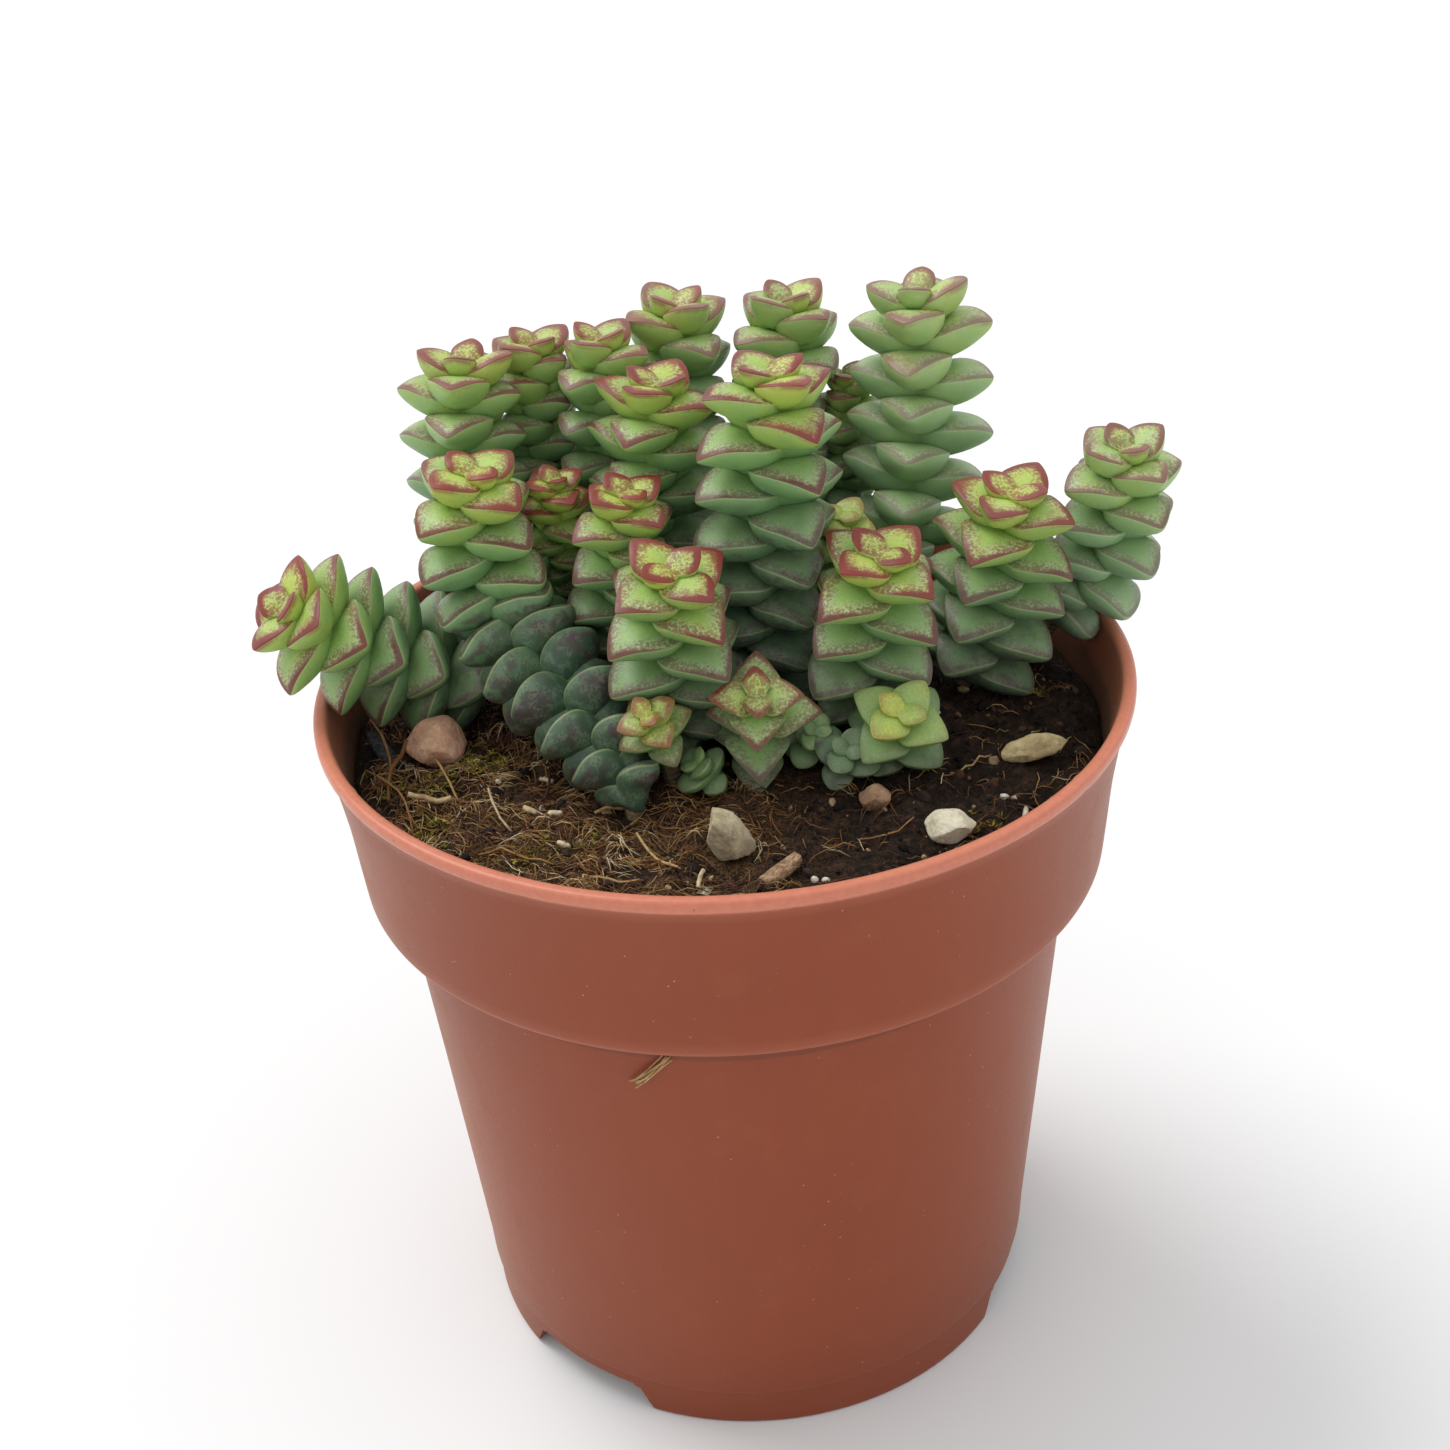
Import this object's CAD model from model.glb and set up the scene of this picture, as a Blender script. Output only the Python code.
# Looks of the potted jade necklace crassula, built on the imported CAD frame.
# Lengths below are in millimetres unless a name says otherwise, and the front
# of the pot faces -Y.

import math
import bpy
import bmesh
import numpy as np
from mathutils import Vector, Matrix, noise
from mathutils.bvhtree import BVHTree


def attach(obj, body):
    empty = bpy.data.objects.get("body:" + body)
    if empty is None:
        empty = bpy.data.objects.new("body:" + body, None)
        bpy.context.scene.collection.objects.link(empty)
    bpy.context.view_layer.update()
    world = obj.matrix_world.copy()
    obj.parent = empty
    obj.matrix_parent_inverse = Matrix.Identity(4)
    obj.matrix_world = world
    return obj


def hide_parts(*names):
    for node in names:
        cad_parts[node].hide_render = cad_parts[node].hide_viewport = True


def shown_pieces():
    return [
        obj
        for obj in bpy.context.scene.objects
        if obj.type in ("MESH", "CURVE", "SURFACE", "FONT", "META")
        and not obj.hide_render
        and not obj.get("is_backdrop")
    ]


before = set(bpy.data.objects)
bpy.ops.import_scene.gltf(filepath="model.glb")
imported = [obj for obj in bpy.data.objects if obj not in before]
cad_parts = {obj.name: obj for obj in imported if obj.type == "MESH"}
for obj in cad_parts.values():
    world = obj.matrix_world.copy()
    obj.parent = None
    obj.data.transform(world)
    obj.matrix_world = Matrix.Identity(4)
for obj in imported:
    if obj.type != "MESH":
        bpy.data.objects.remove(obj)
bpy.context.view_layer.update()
MM = 0.001
scene = bpy.context.scene

# ---- tables shared with the CAD source (mm) ----------------------------------
POT_H = 77.9
RIM_R = 42.5
COLLAR_Z = 58.3
COLLAR_R = 39.8
BODY_R = 36.3
BASE_R = 31.5
WALL = 1.2
FLOOR_Z = 4.0
FLOOR_T = 1.2
PART_LINE_Z = 4.9
NOTCH_H = 3.5
NOTCH_HALF = 16.0
NOTCH_AT = (-130.0, -20.0, 100.0)
DRAIN_R = 3.0
DRAIN_RING = 19.0
DRAIN_N = 6
SOIL_Z = 71.5

STONES = (
    ("stone_notched_pink", -30.1, -4.4, 3.4, 2.9, 2.5, 12.0, 0.7, 1),
    ("stone_pale_wedge", -0.5, -26.0, 2.6, 1.9, 3.1, -14.0, 0.8, 2),
    ("stone_small_brown", 14.2, -18.6, 1.7, 1.5, 1.4, -25.0, 0.4, 3),
    ("stone_long_cream", 30.5, -12.2, 3.6, 1.6, 1.5, 14.0, 0.4, 4),
    ("stone_flat_cream", 20.6, -25.2, 2.4, 2.1, 1.6, -10.0, 0.5, 5),
)
BITS = (
    ("wood_chip", 4.2, -29.3, 2.4, 0.9, 0.50, 38.0, -10.0),
    ("bark_strip", -36.0, -2.2, 3.6, 0.9, 0.50, 119.0, -4.0),
    ("white_stick", 28.3, -21.8, 1.3, 0.32, 0.32, 76.0, -22.0),
)
SHOOTS = (
    ("back_left", ((-22.0, 14.0, 71.5), (-24.2, 15.0, 82.0), (-25.2, 15.6, 98.0), (-24.8, 16.0, 107.8)), 7.7, -100.0, 2.30, 12.0),
    ("back_left_mid", ((-15.5, 23.0, 71.5), (-17.4, 22.4, 84.0), (-18.3, 22.0, 98.0), (-18.0, 22.0, 107.2)), 7.2, -40.0, 2.35, 12.0),
    ("back_mid_left", ((-9.0, 17.5, 71.5), (-10.5, 18.2, 84.0), (-11.1, 18.8, 98.0), (-10.8, 19.0, 108.3)), 7.2, -30.0, 2.35, 12.0),
    ("back_mid", ((-3.0, 25.5, 71.5), (-3.8, 26.2, 84.0), (-3.4, 26.8, 98.0), (-2.6, 27.0, 108.8)), 7.8, -145.0, 2.45, 12.0),
    ("back_mid_right", ((7.5, 25.5, 71.5), (8.5, 26.3, 84.0), (9.0, 26.8, 97.0), (9.4, 27.0, 108.6)), 7.6, -50.0, 2.45, 12.0),
    ("back_hidden", ((16.0, 27.0, 71.5), (15.6, 26.5, 84.0), (15.5, 26.0, 93.0), (15.8, 25.6, 99.8)), 5.6, -120.0, 2.10, 12.0),
    ("back_right_tall", ((19.4, 14.5, 71.5), (20.9, 16.7, 84.0), (22.9, 18.0, 99.0), (22.5, 18.0, 111.8)), 7.9, -105.0, 2.65, 9.0),
    ("mid_left_centre", ((-6.4, 8.2, 71.5), (-6.8, 8.8, 84.0), (-5.8, 9.2, 97.0), (-4.9, 9.0, 107.0)), 7.7, -25.0, 2.50, 8.0),
    ("main_centre", ((4.4, 3.5, 71.5), (4.9, 1.8, 83.0), (5.9, 0.2, 99.0), (6.4, 0.0, 110.8)), 8.4, 28.0, 2.50, 3.5),
    ("left_trailing", ((-9.4, -17.6, 71.5), (-10.0, -16.8, 74.2), (-12.2, -13.4, 77.0), (-15.4, -8.8, 79.7), (-19.0, -3.6, 81.9), (-22.4, 0.4, 86.8), (-23.9, 0.8, 95.0), (-23.5, 0.0, 102.4)), 7.7, -42.0, 2.35, 3.0),
    ("left_small", ((-14.6, 9.6, 71.5), (-15.6, 8.6, 83.0), (-16.2, 7.4, 91.0), (-16.1, 6.4, 98.0)), 4.8, -60.0, 1.85, 7.0),
    ("left_centre", ((-10.4, 1.6, 71.5), (-10.6, 1.0, 84.0), (-9.2, -0.4, 93.0), (-8.4, -1.2, 99.6)), 6.6, -50.0, 2.20, 6.0),
    ("front_left_centre", ((-3.6, -6.6, 71.5), (-4.5, -8.6, 81.0), (-4.8, -10.8, 90.6), (-4.2, -12.4, 96.2)), 8.0, 40.0, 2.35, 3.5),
    ("front_right_centre", ((13.4, -3.8, 71.5), (14.2, -5.6, 80.0), (15.4, -8.0, 89.7), (16.0, -9.4, 95.2)), 8.0, -45.0, 2.35, 3.5),
    ("right_centre", ((25.6, 4.4, 71.5), (27.6, 2.8, 79.0), (29.4, 0.4, 90.0), (30.0, -1.0, 97.0)), 8.0, -33.0, 2.45, 3.0),
    ("far_right", ((32.6, 9.4, 71.5), (36.8, 8.2, 77.8), (40.2, 6.4, 83.6), (41.7, 4.6, 91.0), (41.9, 3.0, 99.2)), 7.1, -65.0, 2.40, 7.0),
    ("far_left_over_rim", ((-23.4, 7.4, 71.5), (-28.0, 5.4, 76.2), (-34.1, 2.4, 80.4), (-40.0, -0.7, 85.2), (-44.3, -2.8, 89.9)), 8.0, -45.0, 2.35, 3.5),
    ("front_rosette", ((2.9, -9.6, 71.5), (2.9, -11.6, 76.0), (3.0, -13.9, 80.2), (3.1, -16.2, 84.0)), 6.6, -90.0, 2.15, 2.0),
    ("front_bud_left", ((-5.4, -12.6, 71.5), (-6.4, -14.4, 77.6), (-7.9, -17.0, 82.9)), 4.6, -70.0, 1.75, 6.0),
    ("front_bud_right", ((16.6, -10.6, 71.5), (16.9, -12.9, 76.2), (17.1, -15.8, 80.8)), 5.9, -38.0, 1.95, 2.0),
    ("right_bud", ((12.4, 11.0, 71.5), (13.2, 7.4, 82.0), (13.1, 3.8, 93.0)), 4.6, -35.0, 1.70, 12.0),
    ("front_low", ((11.4, -12.8, 71.5), (11.6, -14.2, 74.4), (11.8, -15.8, 76.6)), 4.0, -30.0, 1.70, 1.4),
    ("low_sprout_left", ((-1.2, -14.2, 71.5), (-2.3, -14.7, 73.9), (-3.8, -15.2, 76.2)), 3.5, 25.0, 1.70, 1.4),
    ("low_sprout_right", ((8.0, -9.0, 71.5), (8.4, -10.8, 74.4), (9.0, -13.0, 77.4)), 3.6, -20.0, 1.70, 1.4),
)
# how a shoot's leaves are held and shaped: rise added to each pair in degrees,
# thickness and half width as shares of the leaf length
STYLE = {
    "back_left": (11.0, 0.45, 0.48), "back_left_mid": (11.0, 0.45, 0.48), "back_mid_left": (11.0, 0.45, 0.48),
    "back_mid": (11.0, 0.46, 0.48), "back_mid_right": (11.0, 0.46, 0.48), "back_hidden": (9.0, 0.44, 0.47),
    "back_right_tall": (11.0, 0.47, 0.48), "mid_left_centre": (6.0, 0.42, 0.48), "main_centre": (4.0, 0.41, 0.48),
    "left_small": (6.0, 0.43, 0.50), "left_centre": (3.0, 0.41, 0.50), "right_centre": (1.0, 0.41, 0.48),
    "far_right": (11.0, 0.46, 0.48), "far_left_over_rim": (5.0, 0.44, 0.48), "left_trailing": (1.0, 0.46, 0.48),
    "front_rosette": (-3.0, 0.31, 0.46), "front_low": (4.0, 0.44, 0.50), "low_sprout_left": (6.0, 0.46, 0.50),
    "low_sprout_right": (6.0, 0.46, 0.50),
}
PLAIN = (0.0, 0.39, 0.48)
NOD = 22.0        # how far the tip of an older leaf bends down, degrees along the leaf
LOW_BEADS = ("left_trailing", 28.0, 0.66)    # shoot with leaves that grow smaller towards its foot
ROOT_OVER = 1.0
TIP_STEPS = (0.40, 0.44, 0.58, 0.78, 0.92)
PAIR_SIZE = (0.46, 0.72, 0.88, 0.97)
PAIR_LIFT = (15.0, 18.0, 17.0, 14.0, 12.0)
LIFT_OLD = 11.0
MAX_PAIRS = 20
RINGS_TEST = (0.0, 0.42, 0.78)
MIN_TRIM = 0.42

# how each shoot differs in colour: shift of its age, haze of wax bloom
TONE = {
    "back_left": (0.02, 0.15), "back_left_mid": (0.02, 0.15), "back_mid_left": (0.02, 0.15),
    "back_mid": (0.02, 0.24), "back_mid_right": (0.02, 0.24), "back_hidden": (0.06, 0.20),
    "back_right_tall": (0.08, 0.36), "far_right": (0.05, 0.26), "right_centre": (0.0, 0.08), "left_trailing": (0.02, 0.00), "mid_left_centre": (0.0, 0.05),
    "left_small": (-0.06, 0.02), "right_bud": (0.04, 0.0), "front_low": (0.75, 0.04), "low_sprout_left": (0.46, 0.02),
    "low_sprout_right": (0.44, 0.02), "front_bud_left": (0.0, 0.0), "front_bud_right": (0.03, 0.0), "front_rosette": (0.09, 0.0),
}
# how red a shoot's margins are
BLUSH = {"right_bud": 0.40, "front_bud_right": 0.25, "front_bud_left": 0.60, "left_small": 0.9, "low_sprout_left": 0.25,
         "low_sprout_right": 0.2, "front_low": 0.3, "back_right_tall": 1.0, "left_trailing": 0.9, "front_rosette": 0.85}
# how far down a shoot its leaves reach full age, mm
FADE = {"left_trailing": 27.0, "front_rosette": 17.0, "front_bud_left": 13.0, "front_bud_right": 9.0, "front_left_centre": 20.0,
        "front_right_centre": 21.0, "right_centre": 25.0, "left_centre": 25.0, "back_left": 36.0, "back_left_mid": 34.0,
        "back_mid_left": 34.0, "back_mid": 32.0, "back_mid_right": 32.0, "back_right_tall": 90.0, "mid_left_centre": 27.0,
        "main_centre": 27.0, "far_right": 32.0, "far_left_over_rim": 29.0}


# ---- small helpers -----------------------------------------------------------
def put_object(name, mesh, mat=None, ride=True):
    o = bpy.data.objects.new(name, mesh)
    scene.collection.objects.link(o)
    if mat:
        mesh.materials.append(mat)
    if ride:
        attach(o, "root")
    return o


def mesh_from(name, verts, faces, smooth=True, attrs=None, scale=MM):
    """Mesh from an array of points in mm, lists of corners and values a point."""
    me = bpy.data.meshes.new(name)
    v = np.asarray(verts, dtype=np.float64) * scale
    me.from_pydata([tuple(p) for p in v.tolist()], [], faces)
    for key, values in (attrs or {}).items():
        a = me.attributes.new(key, "FLOAT", "POINT")
        a.data.foreach_set("value", np.asarray(values, dtype=np.float32))
    if smooth:
        me.shade_smooth()
    me.update()
    return me


def smoothstep(x, lo, hi):
    t = np.clip((np.asarray(x, float) - lo) / (hi - lo), 0.0, 1.0)
    return t * t * (3.0 - 2.0 * t)


class Graph:
    """A Principled material and the nodes that feed it. Its textures read the
    object's own coordinates in millimetres."""

    def __init__(self, name, rough=0.5, spec=0.5):
        self.mat = bpy.data.materials.new(name)
        self.mat.use_nodes = True
        self.t = self.mat.node_tree
        self.out = self.t.nodes["Principled BSDF"]
        self.out.inputs["Roughness"].default_value = rough
        self.out.inputs["Specular IOR Level"].default_value = spec
        c = self.t.nodes.new("ShaderNodeTexCoord")
        s = self.t.nodes.new("ShaderNodeVectorMath")
        s.operation = "SCALE"
        s.inputs["Scale"].default_value = 1000.0
        self.t.links.new(c.outputs["Object"], s.inputs[0])
        self.mm = s.outputs[0]

    def put(self, socket, value):
        if isinstance(value, bpy.types.NodeSocket):
            self.t.links.new(value, socket)
        elif isinstance(value, (tuple, list)):
            socket.default_value = (value[0], value[1], value[2], 1.0) if socket.type == "RGBA" else tuple(value)
        else:
            socket.default_value = value

    def set(self, name, value):
        self.put(self.out.inputs[name], value)

    def math(self, op, a, b=0.0, clamp=False):
        n = self.t.nodes.new("ShaderNodeMath")
        n.operation = op
        n.use_clamp = clamp
        self.put(n.inputs[0], a)
        self.put(n.inputs[1], b)
        return n.outputs[0]

    def step(self, x, lo, hi):
        n = self.t.nodes.new("ShaderNodeMapRange")
        n.interpolation_type = "SMOOTHSTEP"
        self.put(n.inputs["Value"], x)
        self.put(n.inputs["From Min"], lo)
        self.put(n.inputs["From Max"], hi)
        return n.outputs["Result"]

    def remap(self, x, lo, hi, a, b):
        n = self.t.nodes.new("ShaderNodeMapRange")
        for key, value in (("Value", x), ("From Min", lo), ("From Max", hi), ("To Min", a), ("To Max", b)):
            self.put(n.inputs[key], value)
        return n.outputs["Result"]

    def ramp(self, fac, stops):
        n = self.t.nodes.new("ShaderNodeValToRGB")
        r = n.color_ramp
        while len(r.elements) < len(stops):
            r.elements.new(0.5)
        for e, (p, c) in zip(r.elements, stops):
            e.position = p
            e.color = (c[0], c[1], c[2], 1.0)
        self.put(n.inputs[0], fac)
        return n.outputs[0]

    def mix(self, fac, a, b, mode="MIX"):
        n = self.t.nodes.new("ShaderNodeMix")
        n.data_type = "RGBA"
        n.blend_type = mode
        self.put(n.inputs[0], fac)
        self.put(n.inputs[6], a)
        self.put(n.inputs[7], b)
        return n.outputs[2]

    def noise(self, scale, detail=3.0, rough=0.55, distortion=0.0, at=None):
        n = self.t.nodes.new("ShaderNodeTexNoise")
        self.put(n.inputs["Vector"], at or self.mm)
        self.put(n.inputs["Scale"], scale)
        self.put(n.inputs["Detail"], detail)
        self.put(n.inputs["Roughness"], rough)
        self.put(n.inputs["Distortion"], distortion)
        return n.outputs["Fac"]

    def cells(self, scale, out="Distance", feature="F1", at=None):
        n = self.t.nodes.new("ShaderNodeTexVoronoi")
        n.feature = feature
        self.put(n.inputs["Vector"], at or self.mm)
        self.put(n.inputs["Scale"], scale)
        return n.outputs[out]

    def stretched(self, x, y, z):
        n = self.t.nodes.new("ShaderNodeVectorMath")
        n.operation = "MULTIPLY"
        self.put(n.inputs[0], self.mm)
        n.inputs[1].default_value = (x, y, z)
        return n.outputs[0]

    def value(self, name):
        n = self.t.nodes.new("ShaderNodeAttribute")
        n.attribute_name = name
        return n.outputs["Fac"]

    def bump(self, height, strength, mm, after=None):
        n = self.t.nodes.new("ShaderNodeBump")
        n.inputs["Strength"].default_value = strength
        n.inputs["Distance"].default_value = mm * MM
        self.put(n.inputs["Height"], height)
        if after:
            self.put(n.inputs["Normal"], after)
        self.set("Normal", n.outputs[0])
        return n.outputs[0]


# ---- materials ---------------------------------------------------------------
def leaf_material():
    """edge is the distance from the leaf's margin, above zero on its top face
    and below zero under it. along is 0 at the stem and 1 at the tip."""
    g = Graph("crassula_leaf", 0.46, 0.38)
    edge, along, age, tint, haze, blush = (g.value(k) for k in ("edge", "along", "age", "tint", "haze", "blush"))
    patch = g.noise(0.42, 2.0)
    mid = g.noise(1.9, 3.0)
    fine = g.noise(7.5, 3.0, 0.6)

    a = g.math("ADD", age, g.math("MULTIPLY", g.math("SUBTRACT", tint, 0.5), 0.12))
    a = g.math("ADD", a, g.math("MULTIPLY", g.math("SUBTRACT", patch, 0.5), 0.20), clamp=True)
    body = g.ramp(a, [(0.0, (0.41, 0.51, 0.080)), (0.10, (0.300, 0.47, 0.098)), (0.20, (0.212, 0.41, 0.122)), (0.36, (0.140, 0.322, 0.132)),
                      (0.56, (0.100, 0.240, 0.116)), (0.78, (0.072, 0.160, 0.088)), (1.0, (0.047, 0.100, 0.060))])
    # the underside pales towards the margin and darkens towards the keel
    under = g.step(edge, -0.1, -2.4)
    body = g.mix(g.math("MULTIPLY", g.math("SUBTRACT", 1.0, under), 0.26), body, g.mix(a, (0.52, 0.60, 0.12), (0.17, 0.27, 0.16)))
    body = g.mix(g.math("MULTIPLY", under, 0.20), body, g.mix(a, (0.22, 0.35, 0.025), (0.025, 0.070, 0.042)))
    # faint paler and darker flecks all over
    pits = g.math("SUBTRACT", 1.0, g.step(g.cells(1.7), 0.10, 0.22))
    body = g.mix(g.math("MULTIPLY", pits, 0.20), body, (0.05, 0.11, 0.04))
    body = g.mix(g.math("MULTIPLY", g.step(fine, 0.52, 0.75), 0.14), body, g.mix(a, (0.55, 0.66, 0.22), (0.26, 0.36, 0.24)))

    top = g.step(edge, -0.05, 0.16)
    reach = g.remap(a, 0.05, 0.60, 2.5, 1.6)
    near = g.math("SUBTRACT", 1.0, g.step(g.math("ADD", edge, g.math("MULTIPLY", g.math("SUBTRACT", mid, 0.5), 1.2)), 0.45, reach))
    fresh = g.math("MULTIPLY", g.math("MULTIPLY", g.remap(a, 0.03, 0.24, 1.0, 0.62), g.remap(a, 0.20, 0.70, 1.0, 0.34)), g.remap(along, 0.20, 0.80, 0.40, 1.0))
    # cream stipple
    cream = g.mix(g.step(g.math("ADD", a, g.math("MULTIPLY", g.math("SUBTRACT", patch, 0.5), 0.3)), 0.02, 0.22), (0.58, 0.62, 0.22), (0.58, 0.53, 0.36))
    mottle = g.step(g.math("ADD", g.math("MULTIPLY", fine, 0.80), g.math("MULTIPLY", mid, 0.20)), 0.36, 0.62)
    w = g.math("MULTIPLY", g.math("MULTIPLY", top, near), g.math("MULTIPLY", g.math("ADD", g.math("MULTIPLY", mottle, 0.48), 0.46), fresh))
    centre = g.math("MULTIPLY", top, g.math("SUBTRACT", 1.0, near))
    col = g.mix(g.math("MULTIPLY", centre, 0.30), body, g.mix(a, (0.44, 0.60, 0.10), (0.16, 0.29, 0.15)))
    w = g.math("MULTIPLY", w, g.math("ADD", 0.10, g.math("MULTIPLY", blush, 0.85)))
    col = g.mix(w, col, cream)
    # maroon dots, closer together near the margin
    maroon = g.ramp(a, [(0.0, (0.215, 0.020, 0.018)), (0.22, (0.135, 0.020, 0.019)), (0.50, (0.092, 0.026, 0.027)), (1.0, (0.062, 0.034, 0.040))])
    r = g.remap(g.math("SUBTRACT", 1.0, g.step(edge, 0.3, 2.6)), 0.0, 1.0, 0.22, 0.58)
    dot = g.math("SUBTRACT", 1.0, g.step(g.math("SUBTRACT", g.cells(2.9), r), -0.07, 0.07))
    dot2 = g.math("SUBTRACT", 1.0, g.step(g.math("SUBTRACT", g.cells(5.2), g.math("MULTIPLY", r, 0.90)), -0.08, 0.08))
    dots = g.math("MAXIMUM", g.math("MULTIPLY", dot, 0.80), g.math("MULTIPLY", dot2, 0.62))
    dots = g.math("MULTIPLY", g.math("MULTIPLY", dots, g.math("MAXIMUM", top, g.math("MULTIPLY", g.step(edge, -2.2, -0.1), 0.16))), g.math("MULTIPLY", near, g.remap(a, 0.0, 1.0, 0.95, 0.50)))
    dots = g.math("MULTIPLY", dots, blush)
    col = g.mix(dots, col, maroon)
    # green dots over the middle of the top face
    spots = g.math("MULTIPLY", g.math("SUBTRACT", 1.0, g.step(g.cells(3.6), 0.18, 0.32)), g.math("MULTIPLY", g.math("MAXIMUM", centre, g.math("MULTIPLY", top, 0.5)), 0.45))
    col = g.mix(spots, col, g.mix(a, (0.13, 0.22, 0.030), (0.040, 0.095, 0.050)))
    # the dark red line just inside the margin, broader at the tip
    e = g.math("ADD", edge, g.math("ADD", g.math("MULTIPLY", g.math("SUBTRACT", mid, 0.5), 0.55), g.math("MULTIPLY", g.math("SUBTRACT", fine, 0.5), 0.60)))
    tipness = g.step(along, 0.55, 1.0)
    youth = g.math("MULTIPLY", g.math("SUBTRACT", 1.0, g.step(a, 0.03, 0.20)), 0.26)
    reach2 = g.math("ADD", g.math("ADD", along, youth), g.math("MULTIPLY", g.math("SUBTRACT", mid, 0.5), 0.6))
    wide = g.math("ADD", 0.22, g.math("MULTIPLY", tipness, 0.40))
    wide = g.math("ADD", wide, g.math("MULTIPLY", g.math("SUBTRACT", 1.0, g.step(a, 0.02, 0.18)), 0.46))
    wide = g.math("MULTIPLY", wide, g.math("ADD", 0.45, g.math("MULTIPLY", blush, 0.55)))
    wide = g.math("MULTIPLY", wide, g.math("ADD", 0.10, g.math("MULTIPLY", g.step(reach2, 0.36, 0.90), 0.90)))
    wide = g.math("MULTIPLY", wide, g.math("ADD", 0.62, g.math("MULTIPLY", tint, 0.60)))
    inner = g.math("SUBTRACT", 1.0, g.step(g.math("SUBTRACT", e, wide), -0.16, 0.30))
    off = g.remap(a, 0.05, 0.65, -0.14, 0.03)
    outer = g.step(g.math("SUBTRACT", edge, off), -0.09, 0.07)
    band = g.math("MULTIPLY", g.math("MULTIPLY", inner, outer), g.step(reach2, 0.28, 0.64))
    band = g.math("MULTIPLY", g.math("MULTIPLY", band, blush), g.remap(a, 0.30, 1.0, 0.97, 0.55))
    col = g.mix(band, col, maroon)
    # bud leaves are red over the tip on both faces
    bud = g.math("MULTIPLY", g.math("SUBTRACT", 1.0, g.step(a, 0.05, 0.16)), g.step(g.math("ADD", along, g.math("MULTIPLY", g.math("SUBTRACT", mid, 0.5), 0.6)), 0.56, 0.84))
    bud = g.math("MULTIPLY", g.math("MULTIPLY", bud, blush), g.step(edge, -0.9, -0.1))
    col = g.mix(g.math("MULTIPLY", bud, 0.85), col, maroon)
    # smudge of the same colour over old leaves
    smudge = g.math("MULTIPLY", g.step(a, 0.42, 0.9), g.math("MULTIPLY", g.step(g.noise(0.55, 3.0), 0.46, 0.66), g.step(along, 0.15, 0.7)))
    col = g.mix(g.math("MULTIPLY", smudge, 0.62), col, (0.080, 0.048, 0.056))
    fold = g.math("MULTIPLY", g.math("MULTIPLY", g.step(g.math("ADD", edge, g.math("MULTIPLY", g.math("SUBTRACT", mid, 0.5), 1.2)), -0.85, -1.60), g.step(along, 0.26, 0.70)),
                  g.math("MULTIPLY", g.step(a, 0.30, 0.62), g.step(g.noise(0.7, 2.0, 0.5, 0.6), 0.36, 0.52)))
    col = g.mix(g.math("MULTIPLY", fold, 0.62), col, (0.082, 0.038, 0.050))
    stipple = g.math("MULTIPLY", g.step(g.cells(3.1), 0.34, 0.50), g.math("MULTIPLY", g.step(a, 0.35, 0.8), g.step(g.noise(0.8, 2.0), 0.42, 0.60)))
    col = g.mix(g.math("MULTIPLY", stipple, 0.30), col, (0.24, 0.31, 0.18))
    # pale thin edge outside the line
    rim = g.math("MULTIPLY", g.step(edge, -0.34, -0.14), g.math("SUBTRACT", 1.0, g.step(g.math("SUBTRACT", edge, off), -0.10, 0.04)))
    col = g.mix(g.math("MULTIPLY", rim, g.remap(a, 0.0, 1.0, 0.45, 0.28)), col, (0.50, 0.55, 0.22))
    # bloom
    bloom = g.math("MULTIPLY", haze, g.math("ADD", 0.60, g.math("MULTIPLY", patch, 0.6)))
    col = g.mix(bloom, col, (0.44, 0.60, 0.40))
    g.set("Base Color", col)
    g.set("Roughness", g.remap(mid, 0.3, 0.7, 0.36, 0.50))
    g.set("Subsurface Weight", 0.09)
    g.out.inputs["Subsurface Radius"].default_value = (0.9, 1.0, 0.35)
    g.out.inputs["Subsurface Scale"].default_value = 0.0010
    g.bump(g.math("ADD", g.math("MULTIPLY", fine, 0.5), g.math("MULTIPLY", g.cells(2.9), 0.35)), 0.22, 0.10)
    return g.mat


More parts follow.
